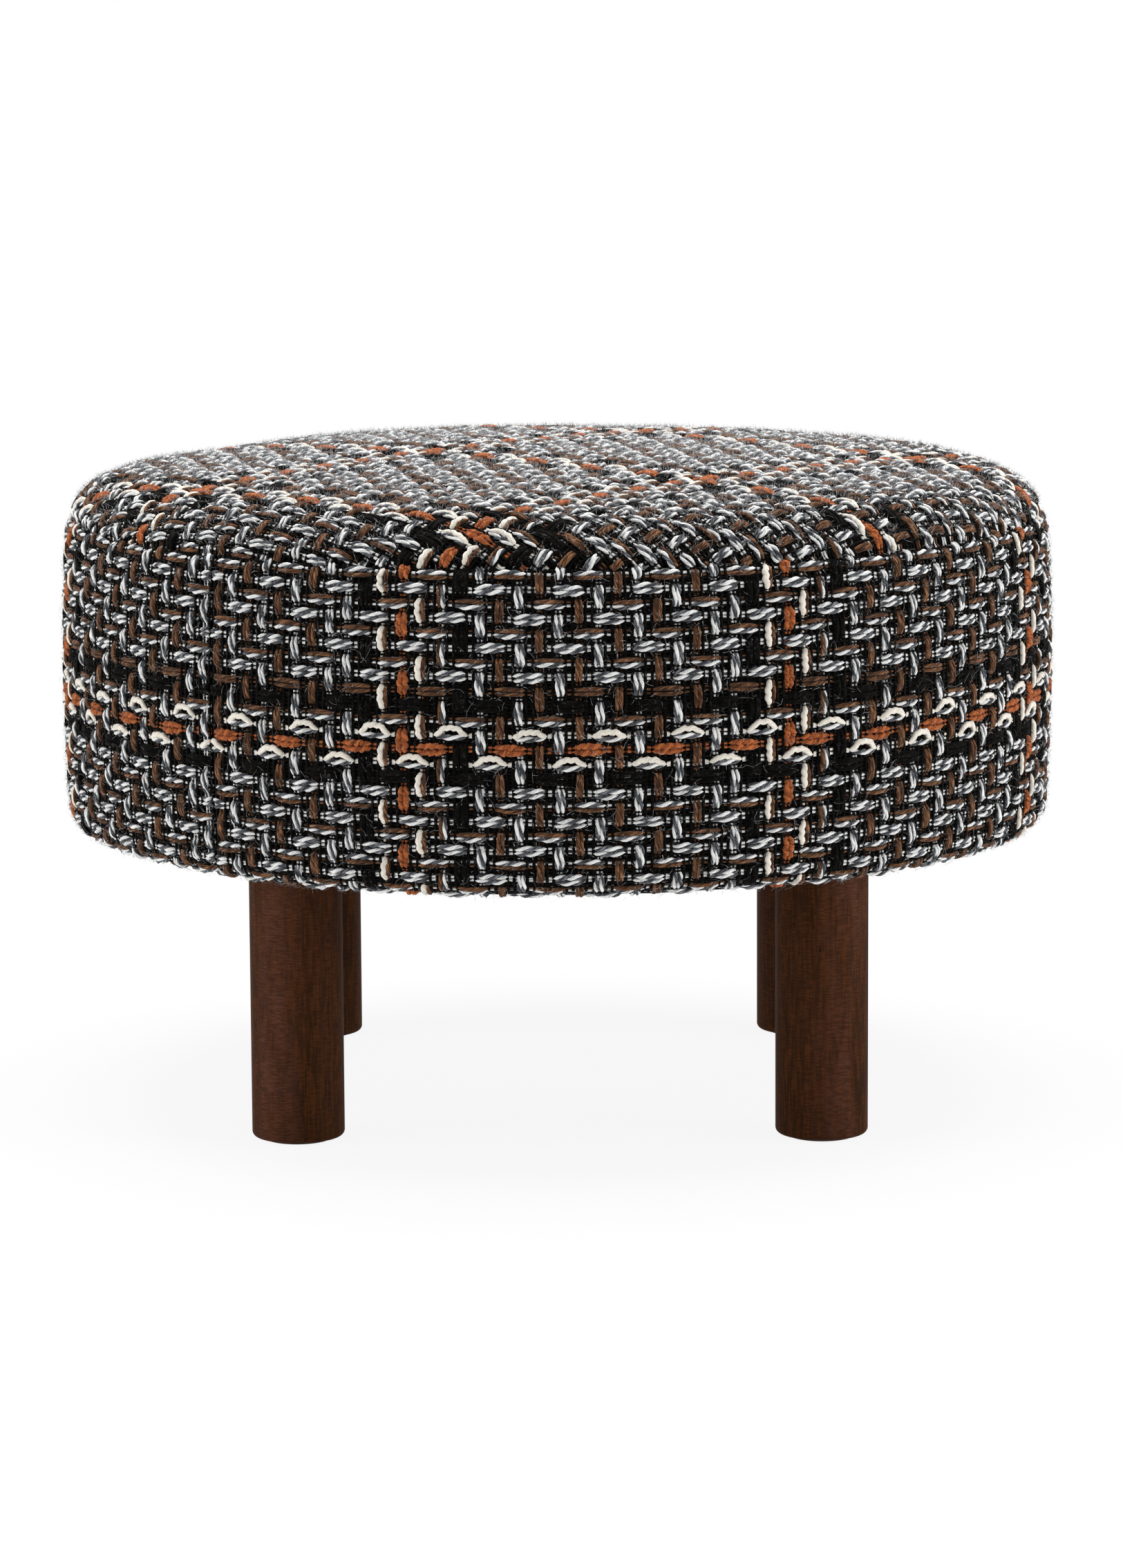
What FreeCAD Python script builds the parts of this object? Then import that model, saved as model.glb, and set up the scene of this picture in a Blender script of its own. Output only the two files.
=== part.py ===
import FreeCAD, Part
import math
import os

# Round pouf: an upholstered drum on a timber frame, standing on four turned legs.
# Millimetres, +Z up, origin on the floor under the middle of the drum, front towards -Y.

# Outer size
drum_diameter = 550.0
overall_height = 357.0
underside_height = 153.0
top_crown = 8.0
side_bulge = 2.0

# Upholstery layers
cover_thickness = 4.0
wadding_thickness = 6.0
seat_foam_thickness = 45.0
side_foam_thickness = 10.0
foam_top_edge_radius = 31.5
foam_bottom_edge_radius = 2.0
layer_gap = 0.3

# Cover seams
top_seam_angle = 26.0
seam_roll = 1.6
side_seam_angle = 228.0
side_panels = ("side_cover_front", "side_cover_rear")

# Timber frame
wall_thickness = 3.0
board_gap = 0.3
top_board_thickness = 15.0
base_board_thickness = 18.0
board_edge_chamfer = 1.5
battens_per_quarter = 2
batten_width = 45.0
batten_depth = 30.0
leg_block_margin = 9.0
leg_block_thickness = 18.0

# Legs and feet
leg_diameter = 50.0
leg_inset = 50.0
leg_foot_round = 3.0
leg_top_chamfer = 1.0
foot_pad_rim = 7.0
foot_pad_thickness = 3.5
foot_pad_proud = 1.5
foot_pad_play = 0.2
leg_corners = ("front_left", "front_right", "rear_right", "rear_left")
first_leg_angle = 225.0

# Underside cloth
dust_cover_thickness = 1.0
dust_cover_lap = 15.0
hem_leg_gap = 10.0

# Leg bolts and their nuts
bolt_diameter = 8.0
bolt_in_leg = 40.0
bolt_point_length = 6.0
bolt_past_nut = 2.0
bolt_play = 0.15
bolt_bore_spare = 2.0
bolt_hole_clearance = 0.5
nut_barrel_wall = 0.9
nut_barrel_floor = 5.0
nut_flange_width = 6.0
nut_flange_thickness = 1.6

# Frame screws
screw_diameter = 4.0
screw_head_diameter = 8.0
screw_head_height = 3.0
screw_play = 0.15
frame_screw_bite = 30.0
block_screw_floor = 6.0
block_screw_edge = 10.0

# Heights and radii that follow from the sizes above
drum_radius = drum_diameter / 2
side_end_radius = drum_radius - side_bulge
rim_height = overall_height - top_crown
wadding_inset = cover_thickness + layer_gap
core_inset = wadding_inset + wadding_thickness + layer_gap
top_edge_radius = foam_top_edge_radius + core_inset
bottom_edge_radius = foam_bottom_edge_radius + core_inset
top_edge_height = rim_height - top_edge_radius
bottom_edge_height = underside_height + bottom_edge_radius
side_foam_bore = side_end_radius - core_inset - side_foam_thickness
wall_radius = side_foam_bore - layer_gap
board_radius = wall_radius - wall_thickness - board_gap
seat_height = rim_height - core_inset - seat_foam_thickness
base_height = underside_height + cover_thickness
base_top = base_height + base_board_thickness
batten_top = seat_height - top_board_thickness
block_top = base_top + leg_block_thickness
leg_radius = leg_diameter / 2
leg_circle_radius = drum_radius - leg_inset - leg_radius
leg_top = base_height - dust_cover_thickness
leg_block_side = leg_diameter + 2 * leg_block_margin
foot_pad_radius = leg_radius - foot_pad_rim
hem_radius = leg_circle_radius + leg_radius + hem_leg_gap
bolt_radius = bolt_diameter / 2
bolt_hole_radius = bolt_radius + bolt_hole_clearance
nut_bore = bolt_radius + bolt_play
nut_barrel_radius = nut_bore + nut_barrel_wall
nut_barrel_low = base_top + nut_barrel_floor
nut_flange_radius = nut_barrel_radius + nut_flange_width
block_screw_length = leg_block_thickness + base_board_thickness - block_screw_floor
block_screw_offset = leg_block_side / 2 - block_screw_edge
batten_face = math.sqrt(board_radius**2 - (batten_width / 2) ** 2)

origin = FreeCAD.Vector(0, 0, 0)
up = FreeCAD.Vector(0, 0, 1)
reach = 2 * (drum_diameter + overall_height)
touching = 0.01


def at(radius, height):
    """A point of a half section, drawn in the XZ plane."""
    return FreeCAD.Vector(radius, 0, height)


top_edge_centre = at(side_end_radius - top_edge_radius, top_edge_height)
bottom_edge_centre = at(side_end_radius - bottom_edge_radius, bottom_edge_height)


def run(*points):
    """Straight edges through the points in turn."""
    return [Part.LineSegment(a, b).toShape() for a, b in zip(points, points[1:])]


def around(centre, radius, angle):
    """The point at an angle up from level on a circle of the half section."""
    turn = math.radians(angle)
    return at(centre.x + radius * math.cos(turn), centre.z + radius * math.sin(turn))


def bend(centre, radius, start, end):
    """One arc about a centre, from one angle to another."""
    angles = (start, (start + end) / 2, end)
    return [Part.Arc(*(around(centre, radius, angle) for angle in angles)).toShape()]


def bearing(start, target):
    """The angle up from level at which one point of the section sees another."""
    return math.degrees(math.atan2(target.z - start.z, target.x - start.x))


def turned(edges, start=0.0, sweep=360.0):
    """Solid of revolution about the drum's axis from a closed half section."""
    face = Part.Face(Part.Wire(Part.__sortEdges__(edges)))
    face.rotate(origin, up, start)
    return face.revolve(origin, up, sweep)


def disc(radius, low, high):
    """Upright cylinder on the drum's axis between two heights."""
    return Part.makeCylinder(radius, high - low, at(0, low))


def moved_out(shape, radius, angle):
    """Copy of a shape drawn on the axis, moved out along an angle and turned with it."""
    copy = shape.copy()
    copy.translate(FreeCAD.Vector(radius, 0, 0))
    copy.rotate(origin, up, angle)
    return copy


def padded_arcs(inset):
    """The drum's outline from crown to underside, moved in by inset: tangent arcs, split at the ring seam.

    Each arc is its centre, radius, first angle and last angle. The top cover follows the first list
    and the side cover the second.
    """
    crown_radius = (top_edge_centre.x**2 + top_crown * (top_crown + 2 * top_edge_radius)) / (2 * top_crown)
    crown_centre = at(0, overall_height - crown_radius)
    middle = (top_edge_height + bottom_edge_height) / 2
    swell = ((top_edge_height - middle) ** 2 + side_bulge**2) / (2 * side_bulge)
    upper_centre = at(drum_radius - swell - top_edge_radius, middle)
    lower_centre = at(drum_radius - swell - bottom_edge_radius, middle)
    rim = bearing(crown_centre, top_edge_centre)
    side_top = bearing(upper_centre, top_edge_centre)
    side_bottom = bearing(lower_centre, bottom_edge_centre)
    top = [
        (crown_centre, crown_radius - inset, 90, rim),
        (top_edge_centre, top_edge_radius - inset, rim, top_seam_angle),
    ]
    side = [
        (top_edge_centre, top_edge_radius - inset, top_seam_angle, side_top),
        (upper_centre, swell + top_edge_radius - inset, side_top, 0),
        (lower_centre, swell + bottom_edge_radius - inset, 0, side_bottom),
        (bottom_edge_centre, bottom_edge_radius - inset, side_bottom, -90),
    ]
    return top, side


def drawn(arcs):
    """Edges of a list of arcs, with the points where they begin and end."""
    edges = []
    for arc in arcs:
        edges += bend(*arc)
    centre, radius, first, _ = arcs[0]
    last_centre, last_radius, _, last = arcs[-1]
    return edges, around(centre, radius, first), around(last_centre, last_radius, last)


def layer(outer_arcs, inner_arcs, flange_radius=None):
    """Closed section between two outlines, with a flange in to a radius under the base if asked."""
    outer, outer_start, outer_end = drawn(outer_arcs)
    inner, inner_start, inner_end = drawn(inner_arcs)
    end = [outer_end, inner_end]
    if flange_radius is not None:
        end[1:1] = [at(flange_radius, outer_end.z), at(flange_radius, inner_end.z)]
    return outer + inner + run(outer_start, inner_start) + run(*end)


def seam_rolled(panel, seam):
    """Panel with its outer edges rolled in at the ring seam and at any upright seams."""
    rolled = []
    for edge in panel.Edges:
        corner = max((vertex.Point for vertex in edge.Vertexes), key=lambda p: math.hypot(p.x, p.y))
        reached = math.hypot(corner.x, corner.y)
        level = edge.BoundBox.ZLength < touching
        on_ring = level and abs(corner.z - seam.z) < touching and abs(reached - seam.x) < touching
        on_upright = not level and abs(reached - drum_radius) < touching
        if on_ring or on_upright:
            rolled.append(edge)
    return panel.makeFillet(seam_roll, rolled)


def covers():
    """Top panel wrapped over the rim, and two side panels that turn under as a hem."""
    outer_top, outer_side = padded_arcs(0)
    inner_top, inner_side = padded_arcs(cover_thickness)
    seam = around(top_edge_centre, top_edge_radius, top_seam_angle)
    panels = {"top_cover": seam_rolled(turned(layer(outer_top, inner_top)), seam)}
    section = layer(outer_side, inner_side, hem_radius)
    sweep = 360.0 / len(side_panels)
    for number, name in enumerate(side_panels):
        panel = turned(section, side_seam_angle + sweep * number, sweep)
        panels[name] = seam_rolled(panel, seam)
    return panels


def padding():
    """Wadding over everything, a crowned seat foam and a foam strip round the wall."""
    outer_top, outer_side = padded_arcs(wadding_inset)
    inner_top, inner_side = padded_arcs(wadding_inset + wadding_thickness)
    core_top, core_side = padded_arcs(core_inset)
    outline, crown, foot = drawn(core_top + core_side)
    core = turned(outline + run(foot, at(0, foot.z), crown))
    below_seat = disc(reach, 0, seat_height)
    return {
        "wadding": turned(layer(outer_top + outer_side, inner_top + inner_side, side_foam_bore)),
        "seat_foam": core.cut(below_seat),
        "side_foam": core.common(below_seat).cut(disc(side_foam_bore, 0, seat_height)),
    }


def screw(length, play=0.0):
    """Countersunk screw pointing down, its head flush with height zero."""
    head = screw_head_diameter / 2 + play
    shank = screw_diameter / 2 + play
    tip = length + play
    return turned(
        run(
            at(0, 0),
            at(head, 0),
            at(shank, -screw_head_height),
            at(shank, -tip + screw_diameter),
            at(0, -tip),
            at(0, 0),
        )
    )


def upward(shape):
    """Copy of a downward shape turned over to point up."""
    copy = shape.copy()
    copy.rotate(origin, FreeCAD.Vector(1, 0, 0), 180)
    return copy


def placed(shape, aside, height):
    """Copy of a shape moved sideways along Y and lifted to a height."""
    copy = shape.copy()
    copy.translate(FreeCAD.Vector(0, aside, height))
    return copy


def leg_angles():
    """The legs stand a quarter turn apart, counted from the front left."""
    return [first_leg_angle + 360.0 / len(leg_corners) * number for number in range(len(leg_corners))]


def batten_angles():
    """Battens spread evenly between each leg and the next."""
    count = len(leg_corners) * battens_per_quarter
    return [first_leg_angle + 360.0 / count * (number + 0.5) for number in range(count)]


def frame_screws(play=0.0):
    """A screw down through the top board and one up through the base board for each batten."""
    radius = batten_face - batten_depth / 2
    aside = batten_width / 4
    from_top = placed(screw(top_board_thickness + frame_screw_bite, play), aside, seat_height)
    from_base = upward(screw(base_board_thickness + frame_screw_bite, play))
    from_base = placed(from_base, -aside, base_height)
    return (
        [moved_out(from_top, radius, angle) for angle in batten_angles()],
        [moved_out(from_base, radius, angle) for angle in batten_angles()],
    )


def block_screws(play=0.0):
    """Two screws down through each leg block, either side of its nut."""
    pair = [
        placed(screw(block_screw_length, play), aside, block_top)
        for aside in (-block_screw_offset, block_screw_offset)
    ]
    return [moved_out(one, leg_circle_radius, angle) for angle in leg_angles() for one in pair]


def bevelled_disc(radius, low, high):
    """Plywood disc with its two rims eased by a small chamfer."""
    board = disc(radius, low, high)
    rims = [edge for edge in board.Edges if edge.BoundBox.ZLength < touching]
    return board.makeChamfer(board_edge_chamfer, rims)


def frame():
    """Top and base boards, battens between them, a bent wall, and blocks over the legs."""
    top_cuts, base_cuts = frame_screws(screw_play)
    block_cuts = block_screws(screw_play)
    bolt_hole = disc(bolt_hole_radius, base_height, base_top)
    bolt_holes = [moved_out(bolt_hole, leg_circle_radius, angle) for angle in leg_angles()]
    top_board = bevelled_disc(board_radius, batten_top, seat_height)
    base_board = bevelled_disc(board_radius, base_height, base_top)
    wall = disc(wall_radius, base_height, seat_height)
    nodes = {
        "top_board": top_board.cut(top_cuts),
        "base_board": base_board.cut(base_cuts + block_cuts + bolt_holes),
        "drum_wall": wall.cut(disc(wall_radius - wall_thickness, base_height, seat_height)),
    }
    corner = FreeCAD.Vector(-batten_depth, -batten_width / 2, base_top)
    batten = Part.makeBox(batten_depth, batten_width, batten_top - base_top, corner)
    for number, angle in enumerate(batten_angles(), 1):
        cuts = [top_cuts[number - 1], base_cuts[number - 1]]
        nodes[f"batten_{number}"] = moved_out(batten, batten_face, angle).cut(cuts)

    half = leg_block_side / 2
    corner = FreeCAD.Vector(-half, -half, base_top)
    block = Part.makeBox(leg_block_side, leg_block_side, leg_block_thickness, corner)
    block = block.cut(disc(nut_barrel_radius + bolt_play, nut_barrel_low - bolt_play, block_top))
    block = block.cut(disc(bolt_hole_radius, base_top, block_top))
    for number, (name, angle) in enumerate(zip(leg_corners, leg_angles())):
        cuts = block_cuts[2 * number : 2 * number + 2]
        nodes[f"leg_block_{name}"] = moved_out(block, leg_circle_radius, angle).cut(cuts)
    return nodes


def tee_nut():
    """Flanged nut: its barrel drops into the leg block and its flange lies on top."""
    nut_top = block_top + nut_flange_thickness
    flange = disc(nut_flange_radius, block_top, nut_top)
    barrel = disc(nut_barrel_radius, nut_barrel_low, block_top)
    return flange.fuse(barrel).cut(disc(nut_bore, base_top, nut_top)).removeSplitter()


def hanger_bolt():
    """Double-ended bolt: a pointed end in the leg, a plain end up through the nut."""
    low = leg_top - bolt_in_leg
    high = block_top + nut_flange_thickness + bolt_past_nut
    return turned(
        run(
            at(0, low),
            at(bolt_radius, low + bolt_point_length),
            at(bolt_radius, high),
            at(0, high),
            at(0, low),
        )
    )


def leg():
    """Straight turned leg with a round foot edge, a bolt bore on top and a pad seat below."""
    low = foot_pad_proud
    pad_seat = foot_pad_radius + foot_pad_play
    bore = bolt_radius + bolt_play
    bore_end = leg_top - bolt_in_leg - bolt_bore_spare
    edges = run(
        at(leg_radius, low + leg_foot_round),
        at(leg_radius, leg_top - leg_top_chamfer),
        at(leg_radius - leg_top_chamfer, leg_top),
        at(bore, leg_top),
        at(bore, bore_end),
        at(0, bore_end),
        at(0, foot_pad_thickness),
        at(pad_seat, foot_pad_thickness),
        at(pad_seat, low),
        at(leg_radius - leg_foot_round, low),
    )
    edges += bend(at(leg_radius - leg_foot_round, low + leg_foot_round), leg_foot_round, -90, 0)
    return turned(edges)


def dust_cover():
    """Thin cloth over the base board, stepped down over the hem, pierced for the bolts."""
    step = hem_radius - layer_gap
    edge = hem_radius + dust_cover_lap
    low = underside_height - dust_cover_thickness
    cloth = turned(
        run(
            at(0, leg_top),
            at(step - dust_cover_thickness, leg_top),
            at(step - dust_cover_thickness, low),
            at(edge, low),
            at(edge, underside_height),
            at(step, underside_height),
            at(step, base_height),
            at(0, base_height),
            at(0, leg_top),
        )
    )
    hole = disc(bolt_hole_radius, leg_top, base_height)
    return cloth.cut([moved_out(hole, leg_circle_radius, angle) for angle in leg_angles()])


def stand():
    """Four legs with their felt pads, bolts and nuts, and the cloth under the base."""
    nodes = {"dust_cover": dust_cover()}
    one_leg = leg()
    pad = disc(foot_pad_radius, 0, foot_pad_thickness)
    for name, angle in zip(leg_corners, leg_angles()):
        nodes[f"leg_{name}"] = moved_out(one_leg, leg_circle_radius, angle)
        nodes[f"foot_pad_{name}"] = moved_out(pad, leg_circle_radius, angle)
    nodes["hanger_bolts"] = Part.Compound(
        [moved_out(hanger_bolt(), leg_circle_radius, angle) for angle in leg_angles()]
    )
    nodes["tee_nuts"] = Part.Compound(
        [moved_out(tee_nut(), leg_circle_radius, angle) for angle in leg_angles()]
    )
    return nodes


def fasteners():
    """The frame's screws, grouped by the board or block that they hold."""
    top_screws, base_screws = frame_screws()
    return {
        "top_board_screws": Part.Compound(top_screws),
        "base_board_screws": Part.Compound(base_screws),
        "leg_block_screws": Part.Compound(block_screws()),
    }


def main():
    os.makedirs("parts", exist_ok=True)
    nodes = {**covers(), **padding(), **frame(), **fasteners(), **stand()}
    for name, shape in nodes.items():
        if not shape.isValid() or not shape.Solids:
            raise ValueError(f"{name} is not a valid solid")
        shape.exportStep(f"parts/{name}.step")
    print(f"{len(nodes)} nodes")
    skin = sum(nodes[name].Volume for name in ("top_cover",) + side_panels)
    face = sum(nodes[name].Area for name in ("top_cover",) + side_panels) / 2
    print(f"cover volume {skin / 1e3:.0f} cm3, area times thickness {face * cover_thickness / 1e3:.0f} cm3")
    for name in ("wadding", "seat_foam", "side_foam", "top_board", "base_board", "leg_front_left"):
        print(f"{name} volume {nodes[name].Volume / 1e3:.1f} cm3")


main()
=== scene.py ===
"""Round tweed pouf: woven yarn covers, padding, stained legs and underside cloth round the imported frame."""

import math
from collections import namedtuple

import bmesh
import bpy
import numpy as np
from bpy.props import FloatProperty, FloatVectorProperty, IntProperty, PointerProperty
from mathutils import Euler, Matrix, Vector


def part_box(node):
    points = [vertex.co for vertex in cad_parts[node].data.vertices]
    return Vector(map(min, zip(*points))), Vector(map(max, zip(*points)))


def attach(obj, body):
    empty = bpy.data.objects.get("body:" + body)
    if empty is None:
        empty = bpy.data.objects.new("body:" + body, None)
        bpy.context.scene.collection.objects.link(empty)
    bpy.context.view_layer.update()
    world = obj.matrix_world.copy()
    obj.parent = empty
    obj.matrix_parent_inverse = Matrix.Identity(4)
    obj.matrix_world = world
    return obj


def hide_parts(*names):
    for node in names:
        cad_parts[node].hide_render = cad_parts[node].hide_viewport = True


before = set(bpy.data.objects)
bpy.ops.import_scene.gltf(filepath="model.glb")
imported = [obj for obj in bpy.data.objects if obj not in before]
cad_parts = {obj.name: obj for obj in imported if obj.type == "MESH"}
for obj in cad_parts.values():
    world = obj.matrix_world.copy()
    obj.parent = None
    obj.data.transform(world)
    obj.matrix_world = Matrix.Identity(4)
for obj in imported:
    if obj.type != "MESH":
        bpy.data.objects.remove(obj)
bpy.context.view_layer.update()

bl_info = {
    "name": "Round tweed pouf",
    "version": (1, 0, 0),
    "blender": (4, 5, 0),
    "location": "3D View > Sidebar > Pouf",
    "description": "Builds the woven covers, padding, finishes and studio of a round pouf",
    "category": "Object",
}

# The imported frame's own sizes, in metres
SIDE_LOW, SIDE_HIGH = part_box("side_cover_front")
TOP_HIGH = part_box("top_cover")[1]
LEG_LOW, LEG_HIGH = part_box("leg_front_right")
DUST_LOW, DUST_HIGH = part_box("dust_cover")
BODY = "root"
MM = 0.001

YARN_MAP = "Yarn"
BAKE_MAP = "OFBake"

# Yarns of one pattern repeat, as letters. A is a grey and white pair, B brown with grey and white, G the
# same the other way round, C a brown pair, D a black pair, E a cream cord beside a plain strand and F an
# orange pair.
WEFT_REPEAT = "GABABABACDBEFEDAGABAGABA"
WARP_REPEAT = "FEBDACACACACACACAADE"
PAIRS = {
    "weft": {
        "A": ("grey_white", "grey_white"),
        "B": ("brown", "grey_white"),
        "C": ("brown", "brown"),
        "D": ("black", "black"),
        "E": ("cream", "grey_white"),
        "F": ("orange", "orange"),
        "G": ("grey_white", "brown"),
    },
    "warp": {
        "A": ("grey_white_warp", "grey_white_warp"),
        "B": ("brown", "grey_white_warp"),
        "C": ("brown", "brown"),
        "D": ("black", "black"),
        "E": ("cream", "brown"),
        "F": ("orange", "orange"),
    },
}

# Ring places along one repeat of the weave, in crossings from the middle of a float
REPEAT = 4
PLAIN_RINGS = np.array([-1.1, -0.84, -0.6, -0.3, 0.0, 0.3, 0.6, 0.84, 1.1, 2.0])
TWIST_RINGS = np.concatenate([np.linspace(-0.84, 0.84, 11), [1.15, 2.0, 2.85]])
FINE_RINGS = np.concatenate([np.linspace(-0.9, 0.9, 16), [1.3, 2.0, 2.7]])

# How a strand is spun: its plies, the radius of a ply, the share of it that is left below the crossings,
# its sides, ring places, the strand's distance from the pair's middle, its sideways bow on a float, the
# ply's distance from the strand's middle, the length of a twist, flatness, crimp, and how far its float's
# ends hook back across the pair
Spin = namedtuple(
    "Spin",
    "plies radius low sides rings spread bow gap twist flat crimp hook",
    defaults=(0.0, 20.0 * MM, 0.95, 0.0, 0.0),
)
SPINS = {
    "grey_white": Spin(
        ("white", "grey"), radius=0.98 * MM, low=(0.84, 0.62), sides=4, rings=TWIST_RINGS,
        spread=1.35 * MM, bow=0.1 * MM, gap=0.72 * MM, twist=11.0 * MM,
    ),
    "grey_white_warp": Spin(
        ("white", "grey"), radius=0.92 * MM, low=(0.84, 0.62), sides=4, rings=TWIST_RINGS,
        spread=1.08 * MM, bow=0.1 * MM, gap=0.64 * MM, twist=12.0 * MM,
    ),
    "brown": Spin(
        ("brown",), radius=1.3 * MM, low=(0.55,), sides=5, rings=PLAIN_RINGS,
        spread=0.85 * MM, bow=0.45 * MM,
    ),
    "black": Spin(
        ("black",), radius=1.85 * MM, low=(0.5,), sides=5, rings=PLAIN_RINGS,
        spread=1.5 * MM, bow=0.1 * MM, flat=0.8,
    ),
    "cream": Spin(
        ("cream",), radius=1.6 * MM, low=(0.5,), sides=6, rings=FINE_RINGS,
        spread=1.3 * MM, bow=2.5 * MM, crimp=0.4 * MM, hook=1.4 * MM,
    ),
    "orange": Spin(
        ("orange", "rust"), radius=1.35 * MM, low=(0.66, 0.66), sides=4, rings=FINE_RINGS,
        spread=1.25 * MM, bow=0.3 * MM, gap=0.55 * MM, twist=6.0 * MM, crimp=0.5 * MM,
    ),
}

# One set of parallel yarns: the middle of each, the crossings it runs between, the pitch of those
# crossings, where crossing 0 begins, the crossing in the middle of its floats, how many crossings from
# there it dives, the share of the strands' bow, how much lower it runs below the crossings, its panel, and
# how a place along and across the yarns is laid on the form
Family = namedtuple("Family", "middle start stop pitch zero first dive bow sink panel lay")
WEFT_DIVE, WARP_DIVE = 0.84, 0.9
SIDE_WEFT_BOW, TOP_WEFT_BOW, WARP_BOW = 1.0, 0.4, 0.25
WEFT_SINK, WARP_SINK = 0.0, 0.4 * MM
SIDE_PANELS = np.array(["side_front", "side_rear"])

# Where the yarns end at the seams: the side's wefts in crossings before an upright seam, its warps below
# the ring seam, and the top's yarns past the ring seam
WEFT_TUCK, WARP_TUCK, TOP_LAP = 0.12, 0.8 * MM, 1.0 * MM

# How far the yarns and their binding threads wander aside, over what length, and the length of a crimp
YARN_WANDER, YARN_WAVE = 0.35 * MM, 0.061
THREAD_WANDER, THREAD_WAVE = 0.2 * MM, 0.029
CRIMP_LENGTH = 4.0 * MM

# How high a float arches, and how far one differs from the next sideways and in height
FLOAT_ARCH, FLOAT_SWAY, FLOAT_RISE = 0.45 * MM, 0.3 * MM, 0.25 * MM

# The binding threads' distance from their yarn's middle, as a share of the pitch
THREAD_SHARES = {"weft": 0.37, "warp": 0.325}

# Inner face of the ground cloth and outer face of the wadding, below the foot of the weave, and how thick
# the wadding and the side foam are
CLOTH_BACK, WADDING_FACE = 1.8 * MM, 2.2 * MM
WADDING_THICKNESS, SIDE_FOAM_THICKNESS = 3.2 * MM, 10.0 * MM

# Lengths along the section: the wadding's end before the hem, the seat foam's past the ring seam, and the
# strip on which the underside cloth laps the hem
WADDING_END, SEAT_FOAM_LAP, DUST_LAP = 12 * MM, 30 * MM, 12 * MM

# The strip above the hem without fibres, the strip above that with more of them, how high the loose and the
# standing fibres reach, and the letters of the yarns without nap
BARE_STRIP, FOOT_STRIP = 28 * MM, 12 * MM
LOOSE_RISE, FOOT_RISE, SIDE_NAP_RISE, TOP_NAP_RISE = 2.6 * MM, 3.0 * MM, 2.4 * MM, 3.4 * MM
BARE_LETTERS = ["D", "F"]

# The share of the top's area that carries fibres
SEAT_SHARE = 0.97

# Points round and along the section of the covers and the padding, and rings along the binding threads
TOP_AROUND, TOP_STEPS = 140, 32
SIDE_AROUND, SIDE_STEPS = 80, 36
PAD_AROUND, WADDING_STEPS, SEAT_STEPS, STRIP_STEPS = 96, 34, 44, 28
WEFT_THREAD_RINGS, WARP_THREAD_RINGS, THREAD_CROWD = 41, 35, 0.75

# Slack and full places of the padding near the top edge: plan angle and half width in degrees, length up
# from the ring seam, its half width and how far the surface is drawn in, in millimetres
SLACK_PLACES = ((145, 20, 32, 40, 2.3), (184, 9, 16, 18, -2.6), (-3, 11, 16, 18, -1.5))


def paint(red, green, blue):
    """A colour written as 0 to 255 display values, as 0 to 1."""
    return (red / 255, green / 255, blue / 255)


def size(name, description, default):
    """A length property in metres."""
    return FloatProperty(name=name, description=description, default=default, unit="LENGTH", precision=4)


def tally(name, description, default):
    """A whole number property."""
    return IntProperty(name=name, description=description, default=default)


def tilt(name, description, default):
    """An angle property in radians."""
    return FloatProperty(name=name, description=description, default=default, subtype="ANGLE", precision=4)


def power(name, description, default):
    """A lamp's power property in watts."""
    return FloatProperty(name=name, description=description, default=default, subtype="POWER")


def tint(name, description, default):
    """A display colour property."""
    return FloatVectorProperty(
        name=name, description=description, default=default, subtype="COLOR_GAMMA", min=0.0, max=1.0
    )


class PoufForm(bpy.types.PropertyGroup):
    """Sizes of the padded drum."""

    drum_radius: size("Drum radius", "Widest radius of the padded side", SIDE_HIGH.x)
    overall_height: size("Overall height", "Floor to the middle of the crown", TOP_HIGH.z)
    underside_height: size("Underside height", "Floor to the hem", SIDE_LOW.z)
    top_crown: size("Top crown", "Rise of the top from its rim to its middle", 8.0 * MM)
    side_bulge: size("Side bulge", "Swell of the side between its edges", 2.0 * MM)
    top_edge: size("Top edge", "Radius of the padded top edge", 42.1 * MM)
    bottom_edge: size("Bottom edge", "Radius of the padded bottom edge", 12.6 * MM)
    hem_radius: size("Hem radius", "Where the side cover ends under the base", 235.0 * MM)
    top_seam: tilt("Top seam", "Slope of the top edge at the ring seam", math.radians(26.0))
    side_seam: tilt("Side seam", "Plan angle of the front upright seam", math.radians(228.4))
    seam_depth: size("Seam depth", "How far the cloth is drawn in along a seam", 1.5 * MM)
    seam_width: size("Seam width", "Half width of the drawn-in strip along a seam", 2.6 * MM)
    unevenness: size("Unevenness", "Rise and fall of the hand-laid padding", 0.6 * MM)


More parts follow.
